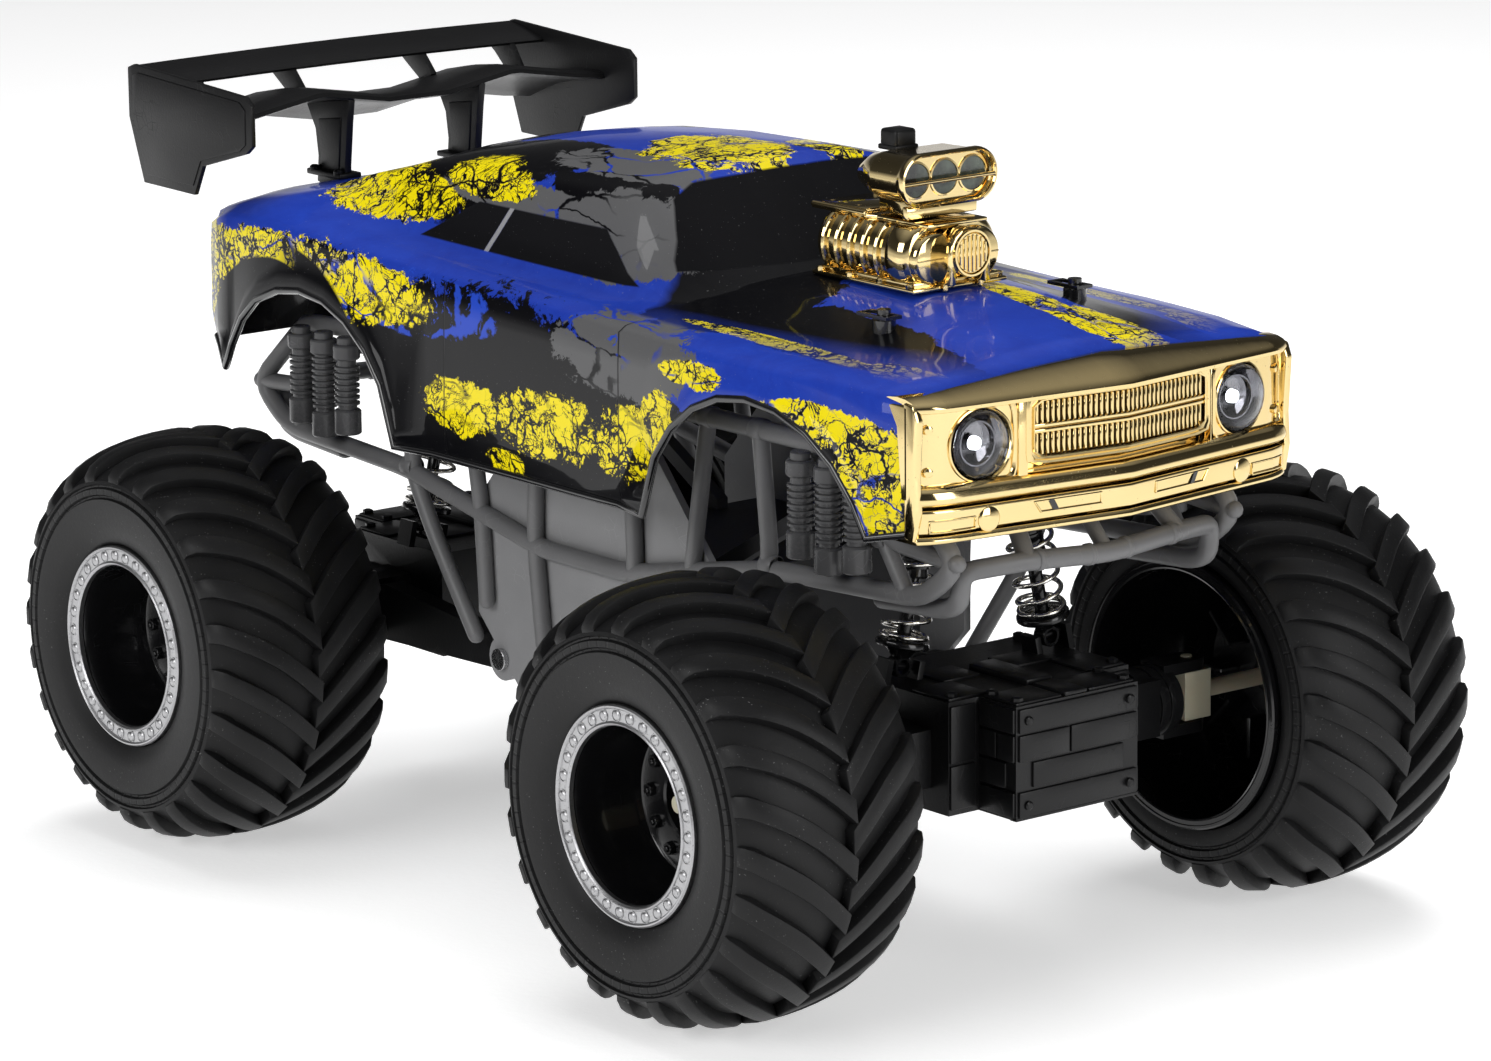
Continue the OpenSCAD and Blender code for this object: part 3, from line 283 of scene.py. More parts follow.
    # dark cracks through the yellow and the grey
    taper = (f.noise(42.0, 4.0, 0.7) - 0.45).top(0.0) * 0.5
    small = f.cells(paint["crack"] * 2.1, f.shifted(0.014, 120.0))
    net = f.cells(paint["crack"], f.shifted(0.022, 80.0))
    coarse = f.cells(paint["crack"] * 0.35, f.shifted(0.04, 60.0))
    ridge = abs(f.noise(58.0, 6.0, 0.66, warp=1.6) - 0.5)
    lines = (taper - net).over(0.0, 0.03).top((taper * 0.8 - small).over(0.02,
            0.03)).top(coarse.under(0.018, 0.015))
    lines = lines.top(ridge.under(0.012, 0.008)).top(fine.over(0.72, 0.05))
    scratch = f.cells(60.0, f.add("ShaderNodeMapping", None, {0: f.shifted(0.02, 30.0), "Rotation": (0.0,
            0.5, 0.3),
                      "Scale": (0.4, 1.5, 1.5)})).under(0.03, 0.02) * f.noise(30.0, 2.0).over(0.5, 0.08)

    tone = f.mix((torn * 0.5 + 0.5).over(0.5, 1.2), paint["deepBlue"], paint["blue"])
    tone = f.mix(black, tone, paint["black"])
    tone = f.mix(grey * (1.0 - scratch), tone, paint["grey"])
    tone = f.mix(runs, tone, paint["blue"])
    tone = f.mix(yellow * (1.0 - lines.top(scratch)), tone, paint["yellow"])
    tone = f.mix(yellow * lines, tone, paint["black"])

    # side and rear glass, the screen, and shut lines
    glassLow = 222.0 - x * 0.02
    sideGlass = (z - glassLow).over(0.0, 0.5) * z.under(238.5, 0.5) * (x + (z - 222.0) * -1.9).over(-88.0,
            0.9)
    sideGlass = sideGlass * (x + (z - 220.0) * 1.15).under(39.0, 0.8) * side.over(50.0, 2.0)
    post = abs(x + 46.0 - (z - 222.0) * 0.55).under(1.3, 0.4)
    sideGlass = sideGlass * (1.0 - post)
    screen = x.over(40.0, 0.5) * (z - (side ** 2.0) * -0.0007).over(229.0, 0.6) * (z + (side ** 2.0) *
            0.0016).under(258.0, 0.6)
    screen = screen * (side + (z - 230.0) * 0.22).under(55.5, 0.7)
    back = x.under(-96.0, 0.6) * (x - side * 0.1).over(-150.0, 0.6) * side.under(42.0, 0.6) * z.over(231.0,
            0.6)
    glass = sideGlass.top(screen).top(back)
    pillarMark = post * (z - glassLow).over(0.0, 0.5) * z.under(238.5, 0.5) * side.over(50.0, 2.0)
    tone = f.mix(pillarMark, f.mix(glass, tone, paint["glass"]), (0.3, 0.3, 0.31))
    arch = {"x": 149.0, "wide": 57.0, "foot": 150.0, "high": 55.0}
    rearArch = (((x + arch["x"]) / arch["wide"]) ** 2.0 + ((z - arch["foot"]) / arch["high"]) ** 2.0) ** 0.5
    flare = rearArch.under(1.2, 0.02) * x.over(-140.0, 14.0) * side.over(74.0, 3.0)
    flare = flare.top(rearArch.under(1.07, 0.015) * side.over(74.0, 3.0) * x.under(0.0, 1.0))
    tone = f.mix(flare, tone, paint["black"])
    shut = abs(x + 43.0 - (z - 214.0) * 0.02).under(0.35, 0.3).top(abs(x - 57.0).under(0.35,
            0.3)) * flank * z.under(214.0, 1.0)
    shut = shut.top(abs(side - 66.0 - (x - 90.0) * 0.02).under(0.3, 0.3) * above * x.over(84.0, 1.0) *
                    z.under(226.0, 2.0))
    tone = f.mix(shut * 0.8, tone, paint["black"])
    dust = f.noise(1400.0, 1.0).over(0.76, 0.02) * 0.25
    tone = f.mix(dust, tone, (0.35, 0.35, 0.35))
    peel = f.noise(140.0, 2.0)
    edge = f.bump(glass * -1.0 - shut * 0.8, 0.0005, 0.8)
    return f.use(Base_Color=tone, Coat_Weight=0.36 - glass * 0.34, Roughness=0.3 + glass * 0.2 + fine *
                 0.02,
                 Normal=f.bump(peel + f.noise(900.0, 2.0) * 0.15, 0.00005, 0.5, onto=edge))


def tyreRubber():
    # the polar pattern reads the distance from the nearer axle, so that one finish serves all four wheels
    f = Finish("tyreRubber", Specular_IOR_Level=0.24)
    dx = abs(f.x) - halfBase
    dz = f.z - axleZ
    radius = (dx ** 2.0 + dz ** 2.0) ** 0.5
    angle = f.add("ShaderNodeMath", {"operation": "ARCTAN2"}, {0: dz, 1: dx})
    ticks = abs(f.add("ShaderNodeMath", {"operation": "FRACT"}, {0: angle * (72 / math.tau) +
            36.0}) - 0.5).over(0.42, 0.05)
    ticks = ticks * abs(radius - 56.8).under(2.0, 0.3)
    crumb = f.noise(700.0, 5.0, 0.7)
    dust = f.noise(1250.0, 1.0).over(0.74, 0.03) * f.noise(60.0, 2.0).over(0.5, 0.2)
    bloom = f.noise(34.0, 3.0)
    tone = f.mix(bloom.over(0.5, 0.5), (0.0035, 0.0035, 0.0038), (0.010, 0.010, 0.0105))
    tone = f.mix(dust * 0.5, tone, (0.2, 0.2, 0.2))
    return f.use(Base_Color=tone, Roughness=0.36 + bloom * 0.14 + crumb * 0.1,
                 Normal=f.bump(crumb * 0.35 - ticks * 1.5, 0.00025, 0.8))


def cellWrap():
    f = Finish("cellWrap", Coat_Weight=0.4)
    band = abs(f.y).under(15.0, 0.5)
    wrinkle = f.noise(160.0, 4.0)
    tone = f.mix(band, (0.02, 0.22, 0.06), (0.55, 0.55, 0.5))
    return f.use(Base_Color=f.mix(wrinkle * 0.3, tone, (0.01, 0.06, 0.02)), Roughness=0.3 + wrinkle * 0.2,
                 Normal=f.bump(wrinkle, 0.0002))


def boardLacquer():
    f = Finish("boardLacquer", Coat_Weight=0.5)
    track = f.cells(240.0, feature="F1").over(0.5, 0.05)
    pads = f.cells(400.0, chaos=0.0, feature="F1").under(0.25, 0.05) * f.noise(60.0, 1.0).over(0.5, 0.02)
    tone = f.mix(track, (0.01, 0.10, 0.035), (0.015, 0.17, 0.06))
    return f.use(Base_Color=f.mix(pads, tone, (0.6, 0.55, 0.4)), Roughness=0.35 + pads * 0.1, Metallic=pads,
                 Normal=f.bump(track + pads, 0.0001))


def lampGlass():
    f = Finish("lampGlass", Roughness=0.0, IOR=1.25, Transmission_Weight=1.0)
    swirl = f.noise(300.0, 2.0)
    rings = f.add("ShaderNodeMath", {"operation": "SINE"}, {0: f.z * 4.0})
    return f.use(Base_Color=f.mix(swirl, (0.9, 0.93, 0.95), (1.0, 1.0, 1.0)), Normal=f.bump(rings * 0.1 +
            swirl * 0.1, 0.00003, 0.4))


def ledGlow():
    f = Finish("ledGlow", Emission_Strength=26.0, Roughness=0.2)
    spot = f.noise(900.0, 1.0)
    return f.use(Emission_Color=f.mix(spot, (0.85, 0.92, 1.0), (1.0, 1.0, 1.0)), Base_Color=f.mix(spot,
            (0.8, 0.8, 0.8), (1.0, 1.0, 1.0)))


# painted shade: a near-black finish, with a faint lighter swirl, that stands in for the shade deep inside
# the scoop's throats
def throatShadeFinish():
    f = Finish("throatPaintedShade", Coat_Weight=0.6, Coat_Roughness=0.05)
    swirl = f.noise(90.0, 3.0)
    return f.use(Base_Color=f.mix(swirl.over(0.52, 0.3), (0.01, 0.012, 0.01), (0.10, 0.13, 0.10)),
                 Roughness=0.15 + swirl * 0.2,
                 Normal=f.bump(swirl, 0.0006))


finishes = {
    "paint": splatterPaint(), "rubber": tyreRubber(), "cells": cellWrap(), "board": boardLacquer(),
    "lens": lampGlass(), "led": ledGlow(), "throat": throatShadeFinish(),
    "gold": plated("goldPlate", (0.80, 0.64, 0.33)),
    "chrome": plated("reflectorPlate", (0.20, 0.20, 0.23), 0.05),
    "gloss": moulded("glossBlack", (0.008, 0.008, 0.009), 0.16, 500.0, 0.00002, 0.1, Coat_Weight=0.8,
                     Coat_Roughness=0.04),
    "rim": moulded("rimBlack", (0.004, 0.004, 0.0045), 0.2, 600.0, 0.00003, 0.1, Coat_Weight=0.5,
                   Coat_Roughness=0.06),
    "wing": moulded("wingBlack", (0.006, 0.006, 0.0065), 0.4, 1100.0, 0.00007, 0.35, 0.25),
    "frame": moulded("frameGrey", (0.155, 0.155, 0.158), 0.36, 1000.0, 0.00005, 0.3, 0.1),
    "plate": moulded("plateGrey", (0.25, 0.25, 0.255), 0.42, 1200.0, 0.00006, 0.25, 0.1),
    "tub": moulded("tubGrey", (0.05, 0.05, 0.052), 0.5, 900.0, 0.00008, 0.2, 0.1),
    "axle": moulded("axleBlack", (0.006, 0.006, 0.0065), 0.34, 800.0, 0.00006, 0.3, 0.2),
    "trim": moulded("trimCharcoal", (0.085, 0.085, 0.088), 0.26, 900.0, 0.00005, 0.2, 0.1),
    "knob": moulded("knobBlack", (0.006, 0.006, 0.0065), 0.4, 700.0, 0.00006, 0.2, 0.1),
    "nylon": moulded("naturalNylon", (0.55, 0.50, 0.37), 0.4, 700.0, 0.00005, 0.2, 0.1,
                     Subsurface_Weight=0.1),
    "shock": moulded("shockBlack", (0.005, 0.005, 0.0055), 0.22, 500.0, 0.00003, 0.2, 0.1, Coat_Weight=0.4),
    "ring": metal("ringSilver", (0.50, 0.50, 0.51), 0.36, 900.0),
    "wire": metal("springWire", (0.80, 0.78, 0.74), 0.16, 700.0),
    "steel": metal("screwSteel", (0.62, 0.62, 0.63), 0.25, 500.0),
    "can": metal("motorCan", (0.6, 0.6, 0.62), 0.3, 300.0),
    "brass": metal("pinionBrass", (0.78, 0.60, 0.28), 0.3, 500.0),
}
print("finishes made:", len(finishes))


# Mesh helpers, all in millimetres.

stoodFor = set()
fromMm = Matrix.Translation((midX, 0, 0)) @ Matrix.Scale(mm, 4)


def part(name, bm, body, looks, stands=(), slot=None, crease=32.0, scaled=True):
    # turns a bmesh in millimetres into a finished piece that rides on a body
    if scaled:
        bmesh.ops.transform(bm, matrix=fromMm, verts=bm.verts)
    mesh = bpy.data.meshes.new(name)
    bm.to_mesh(mesh)
    bm.free()
    mesh.shade_smooth()
    mesh.set_sharp_from_angle(angle=math.radians(crease))
    obj = bpy.data.objects.new(name, mesh)
    bpy.context.scene.collection.objects.link(obj)
    for look in ([looks] if isinstance(looks, str) else looks):
        mesh.materials.append(finishes[look])
    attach(obj, body)
    if stands:
        stands = [stands] if isinstance(stands, str) else list(stands)
        stoodFor.update(stands)
        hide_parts(*stands)
    return obj


def soften(obj, width, segments=2, angle=30.0):
    b = obj.modifiers.new("softEdge", "BEVEL")
    b.width, b.segments, b.limit_method, b.angle_limit = width * mm, segments, "ANGLE", math.radians(angle)
    b.harden_normals = False
    return obj


def allOf(bm):
    return bm.verts[:] + bm.edges[:] + bm.faces[:]


def bevelled(bm, edges, offset, segments):
    bmesh.ops.bevel(bm, geom=edges, offset=offset, offset_type="OFFSET", segments=segments, profile=0.5,
                    affect="EDGES", clamp_overlap=True, material=-1)


def cut(bm, places, normal):
    # extra edges on planes set at distances along a normal
    for k in places:
        bmesh.ops.bisect_plane(bm, geom=allOf(bm), dist=0.0001, plane_co=tuple(n * k for n in normal),
                               plane_no=normal)


def block(bm, low, high, bevel=0.0, segments=2):
    low, high = Vector(low), Vector(high)
    size = high - low
    made = bmesh.ops.create_cube(bm, size=1.0, matrix=Matrix.Translation((low +
            high) / 2) @ Matrix.Diagonal((*size, 1)))
    if bevel:
        bevelled(bm, list({e for v in made["verts"] for e in v.link_edges}), bevel, segments)


def prism(bm, outline, low, high, plane="xz", bevel=0.0, segments=2):
    # an outline drawn in a plane and pulled out along the third axis
    put = {"xz": lambda a, b, c: (a, c, b), "xy": lambda a, b, c: (a, b, c), "yz": lambda a, b, c: (c, a,
            b)}[plane]
    verts = [bm.verts.new(put(a, b, low)) for a, b in outline]
    face = bm.faces.new(verts)
    made = bmesh.ops.extrude_face_region(bm, geom=[face])
    moved = [g for g in made["geom"] if isinstance(g, bmesh.types.BMVert)]
    bmesh.ops.translate(bm, verts=moved, vec=Vector(put(0, 0, high - low)))
    group = set(verts) | set(moved)
    bmesh.ops.recalc_face_normals(bm, faces=list({f for v in group for f in v.link_faces}))
    if bevel:
        bevelled(bm, list({e for v in group for e in v.link_edges}), bevel, segments)


def facing(direction):
    return Vector(direction).to_track_quat("Z", "Y").to_matrix().to_4x4()


def ring(bm, centre, direction, radius, sides, shape=None):
    # a closed loop of edges across a path; shape moves its points
    made = bmesh.ops.create_circle(bm, cap_ends=False, segments=sides, radius=radius,
                                   matrix=Matrix.Translation(centre) @ facing(direction))
    if shape:
        for v in made["verts"]:
            v.co = shape(v.co)
    return list({e for v in made["verts"] for e in v.link_edges})


def loft(bm, rings, closed=True):
    for a, b in zip(rings, rings[1:]):
        bmesh.ops.bridge_loops(bm, edges=a + b)
    if closed:
        for end in (rings[0], rings[-1]):
            bmesh.ops.edgeloop_fill(bm, edges=end)
    faces = list({f for r in rings for e in r for f in e.link_faces})
    bmesh.ops.recalc_face_normals(bm, faces=faces)


def rounded(points, bend):
    # a path with its corners turned into short arcs
    points = [Vector(p) for p in points]
    path = [points[0]]
    for a, b, c in zip(points, points[1:], points[2:]):
        cut = min(bend, (a - b).length * 0.45, (c - b).length * 0.45)
        start, end = b + (a - b).normalized() * cut, b + (c - b).normalized() * cut
        path += [start.lerp(b, k).lerp(b.lerp(end, k), k) for k in (0, 0.25, 0.5, 0.75, 1)]
    return path + [points[-1]]


def tube(bm, points, radius, sides=14, bend=7.0):
    path = rounded(points, bend)
    rings = []
    for i, p in enumerate(path):
        ahead = path[min(i + 1, len(path) - 1)] - path[max(i - 1, 0)]
        rings.append(ring(bm, p, ahead, radius, sides))
    loft(bm, rings)
    for end, other in ((path[0], path[1]), (path[-1], path[-2])):          # rounded ends
        bmesh.ops.create_icosphere(bm, subdivisions=2, radius=radius * 0.999,
                                   matrix=Matrix.Translation(end))


def turned(bm, profile, centre, axis, steps=64, arc=math.tau, use_merge=True):
    # spins (radius, distance along the axis) points about an axis
    axis = Vector(axis).normalized()
    out = axis.orthogonal().normalized()
    centre = Vector(centre)
    verts = [bm.verts.new(centre + out * max(r, 0.0) + axis * h) for r, h in profile]
    edges = [bm.edges.new(pair) for pair in zip(verts, verts[1:])]
    made = bmesh.ops.spin(bm, geom=verts + edges, cent=centre, axis=axis, dvec=(0, 0, 0), angle=arc,
                          steps=steps,
                          use_merge=use_merge, use_normal_flip=False, use_duplicate=False)
    spun = {g for g in made["geom_last"] if isinstance(g, bmesh.types.BMVert)} | set(verts)
    near = list(flood(spun))
    bmesh.ops.remove_doubles(bm, verts=near, dist=0.0005)
    near = [v for v in near if v.is_valid]
    bmesh.ops.recalc_face_normals(bm, faces=list({f for v in near for f in v.link_faces}))
    return near


def flood(start):
    seen, todo = set(start), list(start)
    while todo:
        v = todo.pop()
        for e in v.link_edges:
            o = e.other_vert(v)
            if o not in seen:
                seen.add(o)
                todo.append(o)
    return seen


def around(bm, count):
    # copies of everything in a bmesh, set evenly about the wheel's axis
    bmesh.ops.spin(bm, geom=allOf(bm), cent=(0, 0, 0), axis=(0, 1, 0), dvec=(0, 0, 0),
                   angle=math.tau * (count - 1) / count, steps=count - 1, use_merge=False,
                   use_normal_flip=False,
                   use_duplicate=True)


def curve(points, x):
    # smooth run through given (x, value) points
    if x <= points[0][0]: return points[0][1]
    if x >= points[-1][0]: return points[-1][1]
    for i, ((xa, a), (xb, b)) in enumerate(zip(points, points[1:])):
        if x <= xb:
            before = points[max(i - 1, 0)]
            after = points[min(i + 2, len(points) - 1)]
            t = (x - xa) / (xb - xa)
            slopeA = (b - before[1]) / (xb - before[0]) * (xb - xa)
            slopeB = (after[1] - a) / (after[0] - xa) * (xb - xa)
            return (2 * t ** 3 - 3 * t ** 2 + 1) * a + (t ** 3 - 2 * t ** 2 + t) * slopeA + (3 *
                    t ** 2 - 2 * t ** 3) * b + (t ** 3 - t ** 2) * slopeB


def joined(bm, other):
    # puts one bmesh into another
    temp = bpy.data.meshes.new("temp")
    other.to_mesh(temp)
    other.free()
    bm.from_mesh(temp)
    bpy.data.meshes.remove(temp)


def carried(node, look, width=0.4, slot=None, extra=None):
    # a CAD node with its seams merged, its flats joined and its edges softened, and any detail added to it
    bm = bmesh.new()
    bm.from_mesh(frame["nodes"][node].data)
    bmesh.ops.remove_doubles(bm, verts=bm.verts[:], dist=1e-6)
    bmesh.ops.dissolve_limit(bm, angle_limit=math.radians(2.0), verts=bm.verts[:], edges=bm.edges[:])
    if extra:
        bmesh.ops.transform(extra, matrix=fromMm, verts=extra.verts)
        joined(bm, extra)
    obj = part(node + "Look", bm, nodeBody[node], look, node, slot, scaled=False)
    return soften(obj, width) if width else obj


# Camera, floor and light.

view = {"azimuth": 52.40, "elevation": 12.99, "roll": -0.75, "lens": 143.4,
        "place": (1619.12, -1274.84, 592.58), "shift": (0.0576, 0.0054)}
a, e, r = (math.radians(view[k]) for k in ("azimuth", "elevation", "roll"))
back = Vector((math.sin(a) * math.cos(e), -math.cos(a) * math.cos(e), math.sin(e)))
right = Vector((math.cos(a), math.sin(a), 0))
up = back.cross(right)
right, up = right * math.cos(r) + up * math.sin(r), up * math.cos(r) - right * math.sin(r)
camera = bpy.data.objects.new("camera", bpy.data.cameras.new("camera"))
camera.data.lens, camera.data.sensor_width = view["lens"], 36.0
camera.data.shift_x, camera.data.shift_y = view["shift"]
camera.data.clip_end = 50.0
turn = Matrix((right, up, back)).transposed().to_4x4()
camera.matrix_world = Matrix.Translation(Vector(view["place"]) * mm + Vector((midX, 0, 0))) @ turn
bpy.context.scene.collection.objects.link(camera)
bpy.context.scene.camera = camera

floorMesh = bmesh.new()
bmesh.ops.create_grid(floorMesh, x_segments=8, y_segments=8, size=9.0)
floorData = bpy.data.meshes.new("floor")
floorMesh.to_mesh(floorData)
floorMesh.free()
floor = bpy.data.objects.new("floor", floorData)
bpy.context.scene.collection.objects.link(floor)
sweep = Finish("paperSweep", Roughness=0.85, Emission_Strength=0.5, Specular_IOR_Level=0.1)
floorData.materials.append(sweep.use(Emission_Color=sweep.mix(sweep.noise(2.0, 2.0), (1.0, 1.0, 1.0), (0.98,
        0.98, 0.98)), Base_Color=sweep.mix(sweep.noise(3.0, 4.0), (0.86, 0.86, 0.86), (0.9, 0.9, 0.9)),
                                     Normal=sweep.bump(sweep.noise(300.0, 3.0), 0.0001)))

world = bpy.data.worlds.new("studio")
world.use_nodes = True
bpy.context.scene.world = world
tree = world.node_tree
sky = tree.nodes["Background"]
coords = tree.nodes.new("ShaderNodeTexCoord")
split = tree.nodes.new("ShaderNodeSeparateXYZ")
ramp = tree.nodes.new("ShaderNodeValToRGB")
tree.links.new(coords.outputs["Generated"], split.inputs[0])
tree.links.new(split.outputs["Z"], ramp.inputs[0])
tree.links.new(ramp.outputs[0], sky.inputs[0])
stops = [(0.0, 0.9), (0.05, 0.5), (0.16, 0.06), (0.5, 0.04), (0.75, 0.3), (1.0, 0.6)]
while len(ramp.color_ramp.elements) < len(stops):
    ramp.color_ramp.elements.new(0.5)
for stop, (at, level) in zip(ramp.color_ramp.elements, stops):
    stop.position, stop.color = at, (level, level, level * 1.01, 1)
sky.inputs[1].default_value = 0.8
bpy.context.scene.view_settings.view_transform = "Standard"


def softbox(name, place, size, power, aim=(0.0, 0.0, 0.14), mirrored=True):
    light = bpy.data.lights.new(name, "AREA")
    light.shape, light.size, light.size_y, light.energy = "RECTANGLE", size[0], size[1], power
    obj = bpy.data.objects.new(name, light)
    obj.visible_glossy = mirrored
    place = Vector(place)
    obj.matrix_world = Matrix.Translation(place) @ (place - Vector(aim)).to_track_quat("Z",
            "Y").to_matrix().to_4x4()
    bpy.context.scene.collection.objects.link(obj)


softbox("topLight", (-0.3, 0.3, 1.8), (1.6, 1.2), 17.0, mirrored=False)
softbox("sideLight", (0.2, -2.0, 1.0), (1.6, 0.8), 20.0)
softbox("noseLight", (2.1, 0.3, 0.8), (1.0, 1.2), 16.0)
softbox("backLight", (-0.9, 1.3, 1.9), (1.0, 0.8), 12.0, mirrored=False)
print("studio set")


# Wheels: tyres with chevron lugs, dished rims and bead rings.

tyre = {
    "lugs": 24, "lugLong": 50.0, "lugWidth": 7.4, "lugDepth": 6.2, "edge": 0.7, "sweep": 22.0, "cuts": 11,
    # the lugs' top, as (share of its length, radius) and (share, distance out from the truck's middle)
    "topRadius": [(0, 60.4), (0.1, 63.0), (0.22, 67.4), (0.4, 71.4), (0.6, 73.6), (0.8, 74.6), (1, 74.9)],
    "topOut": [(0, 160.5), (0.1, 160.2), (0.22, 156.6), (0.4, 148.5), (0.6, 139.0), (0.8, 130.4), (1,
        121.9)],
    "side": [(38.3, 158.3), (45, 160.1), (51.5, 160.9), (53.9, 161.0), (54.5, 160.0), (55.1, 160.0), (55.7,
        161.0),
             (57.7, 160.9), (58.3, 159.8), (58.9, 159.8), (59.4, 160.7), (60.6, 160.2), (62.3, 157.8),
             (65.0, 153.0),
             (67.8, 146.0), (69.5, 137.0), (70.4, 129.0), (70.6, 123.0)]}


def lugPoint(co, turnBy, side):
    # bends a straight bar, length along x, over the shoulder of the tyre
    t = min(max(co.x / tyre["lugLong"], 0.0), 1.0)
    radius, out = curve(tyre["topRadius"], t), curve(tyre["topOut"], t)
    dr = curve(tyre["topRadius"], min(t + 0.02, 1)) - curve(tyre["topRadius"], max(t - 0.02, 0))
    dy = curve(tyre["topOut"], min(t + 0.02, 1)) - curve(tyre["topOut"], max(t - 0.02, 0))
    size = math.hypot(dr, dy)
    radius -= dy / size * co.z
    out += dr / size * co.z
    bend = max(t - 0.14, 0.0) / 0.86
    angle = math.radians(turnBy - tyre["sweep"] * (bend * 0.75 + bend * bend * 0.25)) + co.y / 66.0
    return Vector((radius * math.cos(angle), side * out, radius * math.sin(angle)))


def addTyre(bm, x, side):
    own = bmesh.new()
    inner = [(r, 2 * wheelY - out) for r, out in reversed(tyre["side"][:-1]) if r > 49]
    hollow = [(48.6, 86.2), (47.8, 88.0), (48.0, 91.0), (54.0, 95.0), (64.0, 100.0), (67.5, 123.0), (62.0,
            147.0),
              (46.0, 154.0), (36.9, 152.5), (36.9, 156.9), (38.3, 158.3)]
    turned(own, tyre["side"] + inner + hollow, (0, 0, 0), (0, side, 0), 120)
    for tread, flip in ((side, 1), (-side, -1)):
        lug = bmesh.new()
        block(lug, (0, -tyre["lugWidth"] / 2, -tyre["lugDepth"]), (tyre["lugLong"], tyre["lugWidth"] / 2,
                0))
        top = [e for e in lug.edges if all(v.co.z > -0.01 for v in e.verts)]
        bevelled(lug, top, tyre["edge"], 2)
        cut(lug, [tyre["lugLong"] * k / tyre["cuts"] for k in range(1, tyre["cuts"])], (1, 0, 0))
        for v in lug.verts:
            p = lugPoint(v.co, 0.0 if flip > 0 else 180.0 / tyre["lugs"], 1)
            v.co = (p.x, side * (p.y if flip > 0 else 2 * wheelY - p.y), p.z)
        bmesh.ops.recalc_face_normals(lug, faces=lug.faces[:])
        around(lug, tyre["lugs"])
        bmesh.ops.recalc_face_normals(lug, faces=lug.faces[:])
        joined(own, lug)
    bmesh.ops.translate(own, verts=own.verts[:], vec=(x, 0, axleZ))
    joined(bm, own)


rim = {"bolts": 12, "boltCircle": 20.5, "boltSize": 2.5, "bosses": 30, "bossCircle": 33.2, "bossSize": 1.75}


def addRim(bm, x, side):
    own = bmesh.new()
    turned(own, [(0, 127.0), (11.6, 127.0), (12.2, 127.6), (12.4, 131.8), (13.0, 132.5), (14.4, 132.5),
                 (15.0, 131.9),
                 (15.2, 131.3), (24.4, 131.3), (25.6, 132.0), (26.4, 134.0), (27.6, 145.0), (28.9, 154.6),
                 (29.5, 156.4),
                 (36.5, 156.4), (36.7, 155.8), (36.7, 152.0), (38.7, 148.0), (46.6, 111.0), (46.6, 95.0),
                 (47.5, 91.0),
                 (47.9, 89.5), (47.9, 83.6), (47.3, 83.0), (46.5, 83.0), (46.2, 83.5), (44.9, 83.5), (44.6,
                     83.0),
                 (44.0, 83.3), (43.7, 84.4), (43.5, 88.5), (44.0, 89.2), (44.0, 109.0), (41.0, 121.0),
                 (35.7, 141.0),
                 (30.5, 143.0), (28.7, 138.0), (28.5, 126.2), (27.5, 125.6), (14, 125.6), (13, 124.8), (6,
                     124.8),
                 (5.4, 125.6), (0, 125.6)], (0, 0, 0), (0, side, 0), 96)
    bolt = bmesh.new()
    bmesh.ops.create_cone(bolt, cap_ends=True, segments=6, radius1=rim["boltSize"],
                          radius2=rim["boltSize"] * 0.92,
                          depth=2.4, matrix=Matrix.Translation((rim["boltCircle"], side * 132.3,
                                                                0)) @ facing((0, side, 0)))
    bmesh.ops.create_cone(bolt, cap_ends=True, segments=12, radius1=1.3, radius2=1.0, depth=0.8,
                          matrix=Matrix.Translation((rim["boltCircle"], side * 133.8, 0)) @ facing((0, side,
                              0)))
    bevelled(bolt, bolt.edges[:], 0.2, 1)
    around(bolt, rim["bolts"])
    joined(own, bolt)
    spokes = bmesh.new()                        # ribs behind the hub disc
    block(spokes, (14, side * 121 - 4.5, -0.8), (29, side * 121 + 4.5, 0.8), 0.3, 1)
    around(spokes, 8)
    joined(own, spokes)
    bmesh.ops.translate(own, verts=own.verts[:], vec=(x, 0, axleZ))
    joined(bm, own)


def addRing(bm, x, side):
    own = bmesh.new()
    turned(own, [(29.7, 156.7), (29.7, 158.5), (30.1, 159.0), (30.5, 159.2), (31.0, 158.9), (31.2, 158.5),
                 (35.1, 158.5),
                 (35.3, 158.9), (35.7, 159.25), (36.2, 159.2), (36.7, 158.6), (36.7, 156.7), (29.7, 156.7)],
           (0, 0, 0), (0, side, 0), 96)
    boss = bmesh.new()
    turned(boss, [(0, 159.1), (1.0, 159.1), (rim["bossSize"] * 0.8, 158.95), (rim["bossSize"], 158.6),
                  (rim["bossSize"], 158.2)], (rim["bossCircle"], 0, 0), (0, side, 0), 14)
    turned(boss, [(rim["bossSize"] + 0.2, 158.3), (rim["bossSize"] + 0.25, 158.75), (rim["bossSize"] + 0.45,
            158.75),
                  (rim["bossSize"] + 0.5, 158.3)], (rim["bossCircle"], 0, 0), (0, side, 0), 14)
    around(boss, rim["bosses"])
    joined(own, boss)
    bmesh.ops.translate(own, verts=own.verts[:], vec=(x, 0, axleZ))
    joined(bm, own)


